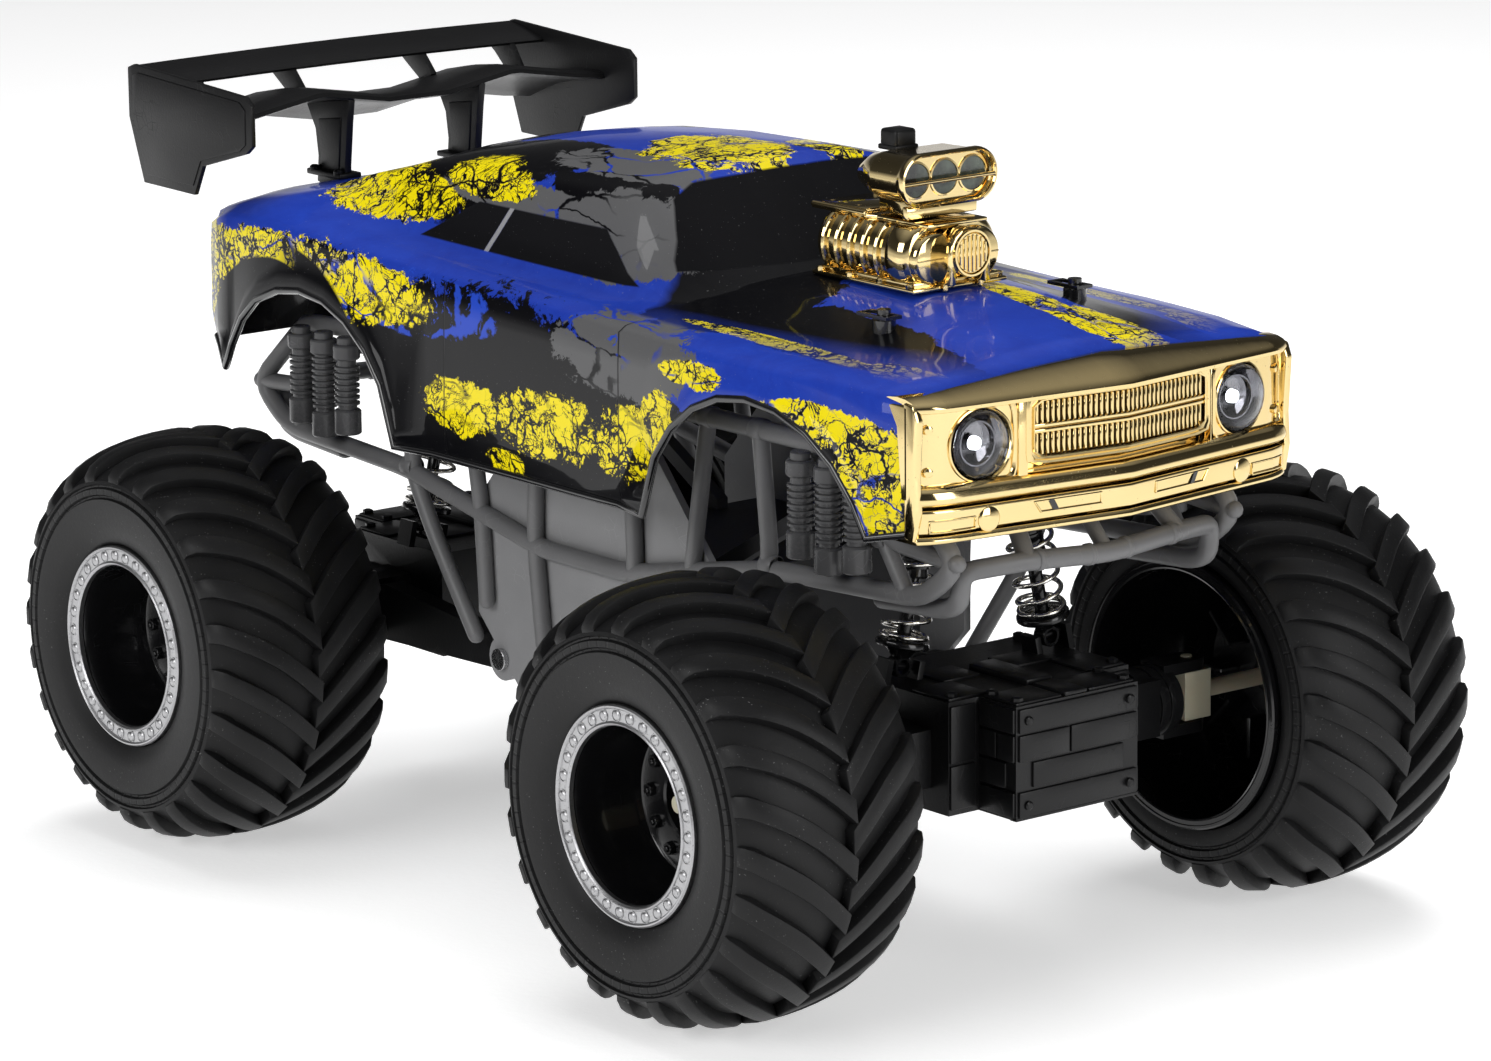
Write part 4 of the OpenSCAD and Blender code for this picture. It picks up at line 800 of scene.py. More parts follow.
for name, side in (("right", -1), ("left", 1)):
    for kind, add, look, slot in (("tyre", addTyre, "rubber", "tyre_rubber"), ("rim", addRim, "rim",
            "rim_black"),
                                  ("ring", addRing, "ring", "ring_silver")):
        bm = bmesh.new()
        add(bm, halfBase, side)
        part(f"front{kind.title()}{name.title()}", bm, f"front_wheel_{name}", look, f"front_{kind}_{name}",
             slot)
    bm = bmesh.new()
    addRim(bm, -halfBase, side)
    part(f"rearRim{name.title()}", bm, "rear_wheels", "rim", f"rear_rim_{name}", "rim_black")
for node, add, look, slot in (("rear_tyres", addTyre, "rubber", "tyre_rubber"), ("rear_rings", addRing,
        "ring", "ring_silver")):
    bm = bmesh.new()
    for side in (-1, 1):
        add(bm, -halfBase, side)
    part(node + "Look", bm, "rear_wheels", look, node, slot)
print("wheels made")


# The four working shocks and their springs.

shock = {"x": halfBase - 12, "topY": 19.0, "lowY": 33.0, "topZ": axleZ + 90, "lowZ": axleZ + 27,
         "wire": 0.9, "coil": 7.8, "turns": 6.5, "springTop": 10.4, "springEnd": 55.0, "keep": 0.83}


def ribbed(start, end, pitch, low, high):
    steps = int((end - start) / pitch)
    return [(r, start + (k + share) * pitch) for k in range(steps)
            for r, share in ((low, 0.0), (low, 0.3), (high, 0.45), (high, 0.85), (low, 1.0))]


for end, front in (("front", 1), ("rear", -1)):
    for name, side in (("right", -1), ("left", 1)):
        top = Vector((front * shock["x"], side * shock["topY"], shock["topZ"]))
        foot = Vector((front * shock["x"], side * shock["lowY"], shock["lowZ"]))
        down = (foot - top).normalized()
        bm = bmesh.new()
        turned(bm, [(0, 3.4), (3.6, 3.4), (4.6, 4.4), (4.6, 6.4), (8.9, 6.8), (9.2, 7.3), (9.2, 9.5), (8.9,
                10.0),
                    (5.0, 10.0)] + ribbed(11.0, 31.0, 2.0, 4.4, 5.0) + [(5.0, 33.4), (4.6, 34.0),
                        (2.6, 34.0), (2.6, 30.0), (0, 30.0)],
               top, down, 40)
        turned(bm, [(2.2, -3.2), (4.2, -3.2), (4.5, -2.8), (4.5, 2.8), (4.2, 3.2), (2.2, 3.2), (2.2, -3.2)],
               top, (1, 0, 0), 32)
        part(f"{end}ShockBody{name.title()}", bm, f"{end}_shock_{name}", "shock",
             f"{end}_shock_body_{name}", "shock_black")
        bm = bmesh.new()
        length = (foot - top).length
        turned(bm, [(0, 24.5), (2.1, 24.5), (2.35, 25.0), (2.35, length - 9.2), (8.2, length - 9.0), (8.9,
                length - 8.7),
                    (9.2, length - 8.2), (9.2, length - 6.9), (8.8, length - 6.5), (6.4, length - 6.4),
                    (5.2, length - 5.6),
                    (3.0, length - 3.0), (0, length - 3.0)], top, down, 40)
        turned(bm, [(2.5, -2.7), (3.5, -2.7), (3.7, -2.4), (3.7, 2.4), (3.5, 2.7), (2.5, 2.7), (2.5, -2.7)],
               foot, (1, 0, 0), 32)
        part(f"{end}ShockRod{name.title()}", bm, f"{end}_shock_rod_{name}", "shock",
             f"{end}_shock_rod_{name}", "shock_black")
        bm = bmesh.new()
        out = down.orthogonal().normalized()
        steps = int(shock["turns"] * 28)
        coils = shock["springEnd"] - shock["springTop"] - 2 * shock["wire"]
        start = top + down * (shock["springTop"] + shock["wire"]) + out * shock["coil"]
        loop = ring(bm, start, down.cross(out), shock["wire"], 8)
        made = bmesh.ops.spin(bm, geom=loop + list({v for e in loop for v in e.verts}), cent=top, axis=down,
                              dvec=down * (coils / steps), angle=math.tau * shock["turns"], steps=steps,
                              use_merge=False, use_normal_flip=False, use_duplicate=False)
        bmesh.ops.edgeloop_fill(bm, edges=loop)
        bmesh.ops.edgeloop_fill(bm, edges=[g for g in made["geom_last"] if isinstance(g,
                bmesh.types.BMEdge)])
        # closed end coils
        for at in (shock["springTop"] + shock["wire"], shock["springEnd"] - shock["wire"]):
            turned(bm, [(shock["coil"] + shock["wire"] * math.cos(k * math.tau / 8), at + shock["wire"] *
                         math.sin(k * math.tau / 8))
                        for k in range(9)], top, down, 40)
        bmesh.ops.recalc_face_normals(bm, faces=bm.faces[:])
        spring = part(f"{end}Spring{name.title()}", bm, f"{end}_shock_{name}", "wire",
                      f"{end}_spring_{name}", "spring_wire", crease=60)
        anchor = (top + down * shock["springTop"]) * mm + Vector((midX, 0, 0))
        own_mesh(spring)
print("shocks made")


# Trim shocks, three in each arch.

trimShock = {"y": 69.8, "first": 18.0, "apart": 14.5, "low": 141.0, "top": 180.0, "cup": 5.0, "core": 3.5,
             "coil": 4.6}
bm = bmesh.new()
for front in (1, -1):
    for side in (1, -1):
        for i in range(3):
            low = trimShock["low"] + abs(i - 1) * 3
            x = front * (halfBase - trimShock["first"] + i * trimShock["apart"])
            c = trimShock
            turned(bm, [(0, low), (c["cup"] - 0.5, low), (c["cup"], low + 0.5), (c["cup"], low + 8.6),
                        (c["cup"] - 0.6, low + 9.2),
                        (c["core"], low + 9.4)] + ribbed(low + 10.0, 171.0, 2.2, c["core"], c["coil"]) +
                   [(c["core"], 171.5), (c["coil"], 171.8), (c["cup"], 172.4), (c["cup"], 176.6),
                    (c["coil"], 177.2),
                    (c["core"], 177.4), (c["core"], 179.6), (3.0, 180.0), (0, 180.0)], (x, side * c["y"],
                        0), (0, 0, 1), 28)
part("trimShocks", bm, "chassis", "trim", "dummy_shocks", "trim_grey")
print("trim shocks made")


# The plated nose, drawn flat and then folded into its vee.

nose = {"x": 200.0, "half": 81.0, "vee": 10.0, "folds": (66, 69, 72, 75, 77, 79), "roll": 3.2,
        "rollFrom": 70.0, "lampY": 56.5, "lampZ": 192.5, "lampR": 11.6,
        "bars": 17, "pitch": 2.1, "grilleZ": 195.4, "grilleY": 37.2, "grilleHigh": 9.2,
        "hoodEdge": [(0, 215.0), (32, 213.6), (60, 211.6), (74, 210.2), (81, 208.6)]}


def rectLoop(bm, x, y, z, halfY, halfZ, sides=64, square=7.0):
    # a rounded oblong facing forwards, made from a circle
    def shape(co):
        a, b = co.y - y, co.z - z
        size = (abs(a / halfY) ** square + abs(b / halfZ) ** square) ** (1 / square)
        return Vector((x, y + a / size, z + b / size))
    return ring(bm, (x, y, z), (1, 0, 0), 1.0, sides, shape)


def roundLoop(bm, x, y, z, radius, sides=64):
    return ring(bm, (x, y, z), (1, 0, 0), radius, sides)


def onto(bm):
    # folds the flat nose into its shallow vee and rolls its corners back
    cut(bm, [0] + [side * y for side in (-1, 1) for y in nose["folds"]], (0, 1, 0))
    for v in bm.verts:
        away = abs(v.co.y)
        v.co.x += nose["x"] - nose["vee"] * min(away, nose["half"]) / nose["half"]
        v.co.x -= nose["roll"] * (max(away - nose["rollFrom"], 0) / (nose["half"] - nose["rollFrom"])) ** 2


bm = bmesh.new()
block(bm, (1.5, -39, 174.0), (9.8, 39, 206.5), 0.4)
for side in (-1, 1):
    near, far = sorted((side * 38.0, side * 81.0))
    block(bm, (1.5, near, 174.0), (7.2, far, 206.5), 0.4)
    y, z = side * nose["lampY"], nose["lampZ"] + 0.4
    loft(bm, [roundLoop(bm, 7.0, y, nose["lampZ"], nose["lampR"]), roundLoop(bm, 13.6, y, nose["lampZ"],
            nose["lampR"]),
              roundLoop(bm, 14.2, y, nose["lampZ"], nose["lampR"] + 0.4), roundLoop(bm, 14.0, y,
                  nose["lampZ"], nose["lampR"] + 0.9),
              roundLoop(bm, 13.3, y, nose["lampZ"], nose["lampR"] + 1.1)] +
             [rectLoop(bm, x, y + side * 5.2, z, a, b) for x, a, b in
              ((13.2, 17.2, 12.9), (13.9, 17.5, 13.2), (14.5, 18.0, 13.7), (14.4, 18.6, 14.2), (13.9, 19.0,
                  14.6), (8.0, 19.2, 14.8))],
         closed=False)
    for up in (6.5, -7.5):                    # two small bolts at the panel's outer edge
        turned(bm, [(0, 14.5), (1.0, 14.5), (1.5, 14.2), (1.7, 13.2)], (0, side * 76.2, z + up), (1, 0, 0),
               14)
    block(bm, (9.0, side * 41.9 - 1.1, 178.6), (14.9, side * 41.9 + 1.1 - side * 1.6, 207.0), 0.5)
    block(bm, (4.0, side * 81.0 - 1.2, 176.0), (14.6, side * 81.0 + 1.2, 207.5), 0.8)
z = nose["grilleZ"]
loft(bm, [rectLoop(bm, x, 0, z, nose["grilleY"] + grow, nose["grilleHigh"] + grow, 96, 14.0) for x, grow in
          ((8.0, 3.0), (15.0, 3.0), (15.8, 2.3), (15.7, 1.6), (15.1, 1.2), (15.0, 0.6), (15.6, 0.4), (15.5,
              0.0), (12.4, -0.1))], closed=False)
block(bm, (10.0, -nose["grilleY"], z - 9.0), (12.6, nose["grilleY"], z + 9.0))
for k in range(-nose["bars"], nose["bars"] + 1):
    for low, high in ((z - 8.8, z - 1.5), (z + 1.5, z + 8.8)):
        block(bm, (12.2, k * nose["pitch"] - 0.55, low), (14.7, k * nose["pitch"] + 0.55, high), 0.25, 1)
for low in (-1.5, 0.3):
    block(bm, (12.2, -nose["grilleY"], z + low), (15.2, nose["grilleY"], z + low + 1.2), 0.3)
# bumper: an upper roll, a ledge, the main face with its recesses, and a lower lip
prism(bm, [(5, 174.0), (16.0, 174.4), (17.3, 175.6), (17.5, 177.0), (16.6, 179.4), (14.4, 181.0), (5,
        181.2)], -80.5, 80.5, "xz", 0.4)
prism(bm, [(4, 165.5), (15.4, 165.5), (16.0, 166.0), (16.4, 172.6), (16.0, 173.4), (4, 173.4)], -80.8, 80.8,
      "xz", 0.4)
prism(bm, [(4, 162.0), (15.6, 162.0), (16.2, 162.5), (16.4, 163.4), (15.6, 164.6), (4, 164.8)], -80.8, 80.8,
      "xz", 0.3)
for side in (-1, 1):
    frameY = [(12.0, 171.8), (38.0, 171.8), (35.5, 168.2), (12.0, 168.2)]
    for (ya, za), (yb, zb) in zip(frameY, frameY[1:] + frameY[:1]):      # a thin raised outline
        tube(bm, [(16.35, side * ya, za), (16.35, side * yb, zb)], 0.35, 8, 0.2)
    turned(bm, [(0, 16.9), (3.4, 16.9), (4.1, 16.4), (4.3, 15.0), (4.3, 12.0)], (0, side * 55.5, 168.4), (1,
            0, 0), 36)
    for ya, yb, za, zb in ((60.5, 77.5, 165.8, 166.3), (60.5, 77.5, 169.6, 170.1), (60.5, 61.0, 165.8,
            170.1), (77.0, 77.5, 165.8, 170.1)):
        block(bm, (15.8, min(side * ya, side * yb), za), (16.7, max(side * ya, side * yb), zb), 0.15, 1)
# the roll from the bonnet's edge down to the face
prism(bm, [(-1.5, 205.0), (-1.5, 214.4), (0.6, 214.7), (4.0, 214.3), (8.0, 213.0), (12.0, 211.0), (15.0,
        208.9), (16.3, 207.6),
           (16.9, 206.4), (16.6, 205.2), (15.6, 204.8), (8.0, 204.8)], -81.4, 81.4, "xz")
cut(bm, [k * 6.5 for k in range(-12, 13)], (0, 1, 0))
for v in bm.verts:
    if v.co.z > 207.5 and v.co.x < 16.0:
        share = min(max((16.0 - v.co.x) / 15.0, 0.0), 1.0)
        v.co.z += (curve(nose["hoodEdge"], abs(v.co.y)) - 215.0) * share
onto(bm)
# cheeks that wrap back to the wings
for side in (-1, 1):
    cheek = bmesh.new()
    prism(cheek, [(198.4, 164.0), (198.4, 208.4), (203.2, 207.8), (205.2, 203.0), (204.0, 184.0), (204.8,
            173.0), (202.8, 163.2)],
          side * 79.2, side * 82.2, "xz", 0.7)
    joined(bm, cheek)
part("fascia", bm, "chassis", ["gold", "gloss"], "front_fascia", "gold_chrome", crease=38)
for side in (-1, 1):                             # black plates beside the grille, behind its bars and in the bumper: painted shade for the gaps and slots
    bm = bmesh.new()
    slot = [(0.0, -2.2), (2.6, 2.2), (5.4, 2.2), (2.8, -2.2)]
    prism(bm, [(side * (28.6 + a * 0.8), 170.2 + b * 0.85) for a, b in slot], 15.6, 16.75, "yz", 0.15, 1)
    block(bm, (9.6, min(side * 40.4, side * 43.4), 180.0), (10.4, max(side * 40.4, side * 43.4), 206.0),
          0.1, 1)
    low, high = sorted((0.0, side * (nose["grilleY"] - 0.6)))
    for z0, z1 in ((-8.8, -1.6), (1.6, 8.8)):
        block(bm, (12.2, low, nose["grilleZ"] + z0), (12.9, high, nose["grilleZ"] + z1), 0.1, 1)
    onto(bm)
    part("noseSlots" + ("Right" if side < 0 else "Left"), bm, "chassis", "gloss", None, "black_gloss")

# lamps: faceted bowl, bulb and lens
bm = bmesh.new()
glow = bmesh.new()
lens = bmesh.new()
for side in (-1, 1):
    at = (nose["x"], side * nose["lampY"], nose["lampZ"])
    turned(bm, [(11.5, 6.4), (11.2, 6.4), (10.2, 5.0), (8.0, 3.0), (5.2, 1.6), (2.6, 1.2), (2.4, 2.6), (0,
            2.6), (0, 0.6), (11.5, 0.6), (11.5, 6.4)],
           at, (1, 0, 0), 16)
    turned(bm, [(7.4, 3.2), (7.4, 5.0), (6.9, 5.0), (6.9, 3.0)], at, (1, 0, 0), 48)
    turned(glow, [(0, 5.2), (1.2, 5.0), (2.1, 4.2), (2.3, 2.7), (0, 2.7)], at, (1, 0, 0), 20)
    turned(lens, [(0, 11.2), (3.0, 10.95), (6.0, 10.2), (8.6, 9.0), (10.4, 7.8), (11.3, 7.0), (11.5, 6.55),
                  (10.9, 6.5), (9.8, 6.9),
                  (8.0, 8.0), (5.6, 9.1), (2.8, 9.75), (0, 10.0)], at, (1, 0, 0), 64)
part("lampBowls", bm, "chassis", "chrome", "headlight_reflectors", "silver_chrome", crease=20)
part("lampBulbs", glow, "chassis", "led", None, "clear_lens")
part("lampLenses", lens, "chassis", "lens", "headlight_lenses", "clear_lens", crease=50)
print("nose made")


# Blower, snout and scoop.

blower = {"x": 104.0, "z": 237.0, "lobe": 8.0, "radius": 12.0, "low": -11.0, "high": 10.4, "ribs": 5}


def lobes(bm, x, radius, low=None, high=None, half=None):
    # an outline of two rounded lobes side by side, flat at the top and foot
    low = blower["low"] if low is None else low
    high = blower["high"] if high is None else high
    half = blower["lobe"] if half is None else half

    def shape(co):
        a, b = co.y, co.z - blower["z"]
        across = a * radius + (half if a > 0.001 else -half if a < -0.001 else 0)
        return Vector((x, across, blower["z"] + min(max(b * radius, low), high)))
    return ring(bm, (x, 0, blower["z"]), (1, 0, 0), 1.0, 48, shape)


bm = bmesh.new()
stations = [(78.4, 10.5), (79.0, 11.4), (80.4, 12.0)]
for i in range(blower["ribs"]):
    at = 82.0 + i * 6.9
    stations += [(at, 12.0), (at + 0.5, 13.2), (at + 1.2, 13.5), (at + 2.0, 13.2), (at + 2.5, 12.0)]
stations += [(115.6, 12.0), (116.0, 13.0), (117.0, 13.5), (122.0, 13.5), (124.2, 12.9), (125.6, 11.6),
             (126.2, 10.2)]
loft(bm, [lobes(bm, x, r) for x, r in stations])
for side in (-1, 1):                            # round covers on the front
    turned(bm, [(0, 129.6), (7.8, 129.6), (8.6, 129.2), (9.2, 128.2), (9.2, 125.0)], (0, side * 9.5,
            blower["z"] - 0.5), (1, 0, 0), 40)
    block(bm, (128.9, side * 9.5 - 8.4, blower["z"] - 0.7), (129.9, side * 9.5 + 8.4, blower["z"] - 0.2),
          0.2, 1)
prism(bm, [(77.2, -20.6), (130.8, -20.6), (130.8, 20.6), (77.2, 20.6)], 226.1, 227.6, "xy", 0.5)
prism(bm, [(79.0, -18.6), (128.8, -18.6), (128.8, 18.6), (79.0, 18.6)], 227.4, 229.3, "xy", 0.5)
for x in (80.5, 96, 112, 127.5):
    for side in (-1, 1):
        turned(bm, [(0, 2.9), (1.0, 2.9), (1.5, 2.5), (1.5, 1.3)], (x, side * 19.4, 226.2), (0, 0, 1), 6)
# injector plate: two layers with a pipe along each side
prism(bm, [(70.2, -14.8), (99.0, -14.8), (103.0, -13.0), (129.6, -13.0), (129.6, 13.0), (103.0, 13.0),
           (99.0, 14.8), (70.2, 14.8)],
      247.2, 248.5, "xy", 0.4)
prism(bm, [(73.0, -12.6), (97.0, -12.6), (97.0, 12.6), (73.0, 12.6)], 248.3, 249.9, "xy", 0.4)
for side in (-1, 1):
    tube(bm, [(70.6, side * 14.0, 248.6), (98.0, side * 14.0, 248.6)], 1.15, 12)
    for x in (75, 82, 89):
        turned(bm, [(0, 1.6), (0.9, 1.6), (1.2, 1.2), (1.2, 0)], (x, side * 9.5, 248.4), (0, 0, 1), 12)
part("blowerCase", bm, "chassis", "gold", "blower_case", "gold_chrome", crease=36)
bm = bmesh.new()
prism(bm, [(-8.8, 228.0), (-8.8, 238.6), (-8.2, 241.6), (-6.4, 244.6), (-3.6, 246.6), (0, 247.3), (3.6,
        246.6), (6.4, 244.6), (8.2, 241.6),
           (8.8, 238.6), (8.8, 228.0), (6.2, 228.0), (6.2, 232.4), (-6.2, 232.4), (-6.2, 228.0)], 128.4,
           136.0, "yz", 0.7)
turned(bm, [(0, 136.9), (6.6, 136.9), (7.0, 136.5), (7.0, 135.0)], (0, 0, 238.6), (1, 0, 0), 40)
turned(bm, [(7.1, 135.8), (7.2, 137.3), (7.9, 137.3), (8.0, 135.8)], (0, 0, 238.6), (1, 0, 0), 40)
for k in range(-3, 4):
    reach = math.sqrt(6.6 ** 2 - (k * 1.8) ** 2) - 0.3
    block(bm, (136.4, k * 1.8 - 0.5, 238.6 - reach), (137.5, k * 1.8 + 0.5, 238.6 + reach), 0.25, 1)
for side in (-1, 1):
    tube(bm, [(132.0, side * 7.6, 230.0), (132.0, side * 7.6, 226.4)], 1.0, 10)
part("blowerSnout", bm, "chassis", "gold", "blower_pulley", "gold_chrome", crease=36)

# scoop: an oblong horn with three throats behind a rod
scoop = {"z": 262.6, "halfY": 21.0, "halfZ": 9.4, "front": 125.8, "throat": 5.6, "apart": 12.4}
bm = bmesh.new()


def horn(x, halfY, halfZ, up=0.0):
    def shape(co):
        a, b = co.y, co.z - scoop["z"]
        flat = halfY - halfZ
        return Vector((x, a * halfZ + (flat if a > 0.001 else -flat if a < -0.001 else 0), scoop["z"] + b *
                       halfZ + up))
    return ring(bm, (x, 0, scoop["z"]), (1, 0, 0), 1.0, 64, shape)


y, z = scoop["halfY"], scoop["halfZ"]
loft(bm, [horn(122.2, y - 2.0, z - 2.0), horn(125.0, y - 1.5, z - 1.5), horn(125.8, y - 0.9, z - 0.9),
          horn(125.6, y - 0.2, z - 0.2),
          horn(124.8, y, z), horn(123.4, y, z), horn(122.6, y - 0.5, z - 0.5), horn(121.0, y - 0.9,
              z - 0.9), horn(107.0, y - 1.4, z - 1.2),
          horn(106.0, y - 1.6, z - 1.4), horn(98.0, y - 5.4, z - 2.6, -0.4), horn(90.6, y - 9.6, z - 5.6,
              -1.6)])
for k in (-1, 0, 1):
    c = (0, k * scoop["apart"], scoop["z"])
    turned(bm, [(scoop["throat"] + 1.0, 122.0), (scoop["throat"] + 0.8, 122.7), (scoop["throat"] + 0.2,
            122.8), (scoop["throat"], 122.2)], c, (1, 0, 0), 36)
tube(bm, [(125.0, -y + 1.2, scoop["z"] - 0.6), (125.0, y - 1.2, scoop["z"] - 0.6)], 0.75, 12)
prism(bm, [(100.0, -10.0), (121.0, -14.0), (121.0, 14.0), (100.0, 10.0)], 249.6, 255.0, "xy", 0.8)
block(bm, (118.5, -15.4, 249.2), (121.5, 15.4, 253.6), 0.6)
part("airScoop", bm, "chassis", "gold", "air_scoop", "gold_chrome", crease=36)
# flat discs just inside the three throats, given the dark throat finish: painted shade for the depth of the
# holes
bm = bmesh.new()
for k in (-1, 0, 1):
    turned(bm, [(scoop["throat"], 122.35), (scoop["throat"] * 0.86, 122.3), (scoop["throat"] * 0.6, 122.25),
                (0, 122.25)],
           (0, k * scoop["apart"], scoop["z"]), (1, 0, 0), 36)
part("scoopThroats", bm, "chassis", "throat", None, "black_gloss")
bm = bmesh.new()
block(bm, (94.0, -4.6, 269.6), (103.0, 4.6, 276.4), 1.3, 3)
block(bm, (93.6, -5.0, 269.2), (103.4, 5.0, 271.0), 0.5)
part("scoopCap", bm, "chassis", "knob", None, "black_gloss")
print("blower made")


# Side frames and end hoops, as bent tubes.

frameTube = {"radius": 3.4, "rail": axleZ + 106, "low": axleZ + 43, "y": 61.0, "bend": 9.0, "arm": 54.0}
rail, low, fx, r = frameTube["rail"], frameTube["low"], halfBase, frameTube["radius"]
for name, side in (("left", 1), ("right", -1)):
    bm = bmesh.new()
    y = side * frameTube["y"]
    for front in (1, -1):
        loop = [(0, rail), (fx - 22, rail), (fx + 20, rail - 2), (fx + 52, axleZ + 77), (fx + 34, axleZ +
                63), (fx - 42, axleZ + 59),
                (fx - 125, low), (0, low)]
        tube(bm, [(front * a, y, b) for a, b in loop], r - 0.01 * (front < 0), 16, frameTube["bend"])
        for share, points in ((0.92, [(fx + 51, axleZ + 77.5), (fx + 14, axleZ + 80), (fx + 21, rail - 3)]),
                              (0.86, [(fx + 14, axleZ + 80), (fx + 26, axleZ + 63)]),
                              (0.90, [(fx - 50, rail), (fx - 45, axleZ + 60), (fx - 58, axleZ + 38),
                                      (frameTube["arm"] + 12, axleZ + 4)]),
                              (0.88, [(fx - 78, rail), (fx - 88, low + 8), (fx - 90, axleZ + 18)]),
                              (0.92, [(fx - 122, rail), (fx - 120, low + 1), (fx - 124, axleZ + 8)])):
            tube(bm, [(front * a, y, b) for a, b in points], r * share - 0.01, 14, frameTube["bend"])
        # weld collars
        for a, b in ((fx - 50, rail), (fx + 14, axleZ + 80), (fx - 78, rail), (fx - 122, rail), (fx - 45,
                axleZ + 60)):
            turned(bm, [(r + 0.05, -3.2), (r + 0.5, -2.6), (r + 0.5, 2.6), (r + 0.05, 3.2)], (front * a, y,
                    b), (1, 0, 0), 20)
    part("sideFrame" + name.title(), bm, "chassis", "frame", "side_frame_" + name, "frame_grey", crease=50)

hoop = {"x": halfBase + 56, "z": axleZ + 73, "y": 54.8}
for name, front in (("front_bumper", 1), ("rear_hoop", -1)):
    bm = bmesh.new()
    x, z, y = hoop["x"], hoop["z"], hoop["y"]
    path = [(x - 10, -y, z), (x - 2, -33, z + 2), (x, 0, z), (x - 2, 33, z + 2), (x - 10, y, z)]
    legs = [(x - 11, y, z - 11), (x - 19, y, z - 14), (halfBase + 6, y, z - 16)]
    whole = [(a, -b, c) for a, b, c in reversed(legs)] + path + legs
    tube(bm, [(front * a, b, c) for a, b, c in whole], 3.35, 16, 8.0)
    arch = [(x - 2.5, -33, z + 2), (x - 18, -28, z + 18), (x - 18, 28, z + 18), (x - 2.5, 33, z + 2)]
    tube(bm, [(front * a, b, c) for a, b, c in arch], 3.1, 16, 7.0)
    for b in (-29, 29, -8, 8):
        turned(bm, [(3.3, -1.3), (3.75, -0.9), (3.75, 0.9), (3.3, 1.3)], (front * (x - 0.4 - abs(b) * 0.05),
                b, z + abs(b) * 0.06), (0, 1, 0), 20)
    tube(bm, [(front * (x - 0.4), 0, z), (front * (x - 18), 0, z + 18)], 2.6, 14)
    part("hoop" + ("Front" if front > 0 else "Rear"), bm, "chassis", "frame", name, "frame_grey", crease=50)
print("frame made")


# Axle housings: seams, ribs and bolts over the kept shells.

case = {"fore": 22.0, "noseFore": 41.0, "half": 40.0, "noseHalf": 27.0, "low": -17.0, "high": 22.0,
        "proud": 0.9}
for name, front in (("front", 1), ("rear", -1)):
    bm = bmesh.new()
    c, zl, zh, p = case, axleZ + case["low"], axleZ + case["high"], case["proud"]

    def slab(x0, x1, y0, y1, z0, z1, bevel=0.35):
        a, b = sorted((front * (halfBase + x0), front * (halfBase + x1)))
        block(bm, (a, y0, z0), (b, y1, z1), bevel, 2)
    for y0, y1, z0, z1 in ((-26, 26, zh - 9.2, zh - 1), (-26, -4, zh - 19, zh - 10), (-3.2, 26, zh - 19,
            zh - 10), (-20, 20, zh - 28.4, zh - 19.8),
                           (-26, 26, zl + 1, zl + 9.6)):
        slab(c["noseFore"] - 0.5, c["noseFore"] + p, y0, y1, z0, z1)
    for side in (1, -1):
        s = side * c["noseHalf"]
        for x0, x1, z0, z1 in ((23.5, 40.5, zh - 9.2, zh - 1), (23.5, 31.5, zh - 19, zh - 10), (32.3, 40.5,
                zh - 19, zh - 10),
                               (23.5, 36.5, zh - 28.4, zh - 19.8), (23.5, 40.5, zl + 1, zl + 9.6)):
            slab(x0, x1, min(s - side * 0.5, s + side * p), max(s - side * 0.5, s + side * p), z0, z1)
        for x0, x1, y0, y1 in ((23.5, 40.0, 6, 26), (2, 21, 22, 39), (-14, 1, 8, 24)):
            slab(x0, x1, min(side * y0, side * y1), max(side * y0, side * y1), zh - 0.4, zh + p)
        for y0, y1, z0, z1 in ((29, 39.6, zl + 2, zl + 17), (29, 39.6, zl + 18, zh - 1.5)):
            slab(c["fore"] - 0.4, c["fore"] + p, min(side * y0, side * y1), max(side * y0, side * y1), z0,
                 z1)
        for at in (58.0, 65.5, 70.0):
            turned(bm, [(11.8, -1.1), (12.7, -0.8), (12.7, 0.8), (11.8, 1.1)], (front * halfBase, side * at,
                    axleZ), (0, 1, 0), 40)
        for x0, y0 in ((37.5, 24), (25, 24), (-29, 36), (18.5, 36.5)):
            turned(bm, [(0, 2.3), (1.1, 2.3), (2.0, 1.9), (2.1, -0.3)], (front * (halfBase + x0), side *
                    y0 * 0.98, zh + 0.2), (0, 0, 1), 6)
        for z0 in (zl + 5.0, zh - 5.0):
            turned(bm, [(0, 2.2), (1.0, 2.2), (1.6, 1.8), (1.7, -0.3)], (front * (halfBase + c["noseFore"]),
                    side * 22.5, z0), (front, 0, 0), 12)
    slab(c["noseFore"] - 3, c["noseFore"] + 0.3, -27.2, 27.2, zl - 0.2, zl + 0.9, 0.2)
    slab(24, 40.6, -5.0, 5.0, zh - 0.4, zh + 1.6, 0.6)
    slab(-8, 22, -5.6, 5.6, zh - 0.4, zh + 2.2, 0.6)
    carried(f"{name}_axle_housing", "axle", 0.5, "axle_black", bm)
print("axles made")


# Wing.

wing = {"rear": -halfBase - 94.0, "z": axleZ + 151.0, "half": 89.0, "wall": 2.4}
w, wz, half = wing["rear"], wing["z"], wing["half"] - wing["wall"] + 0.3


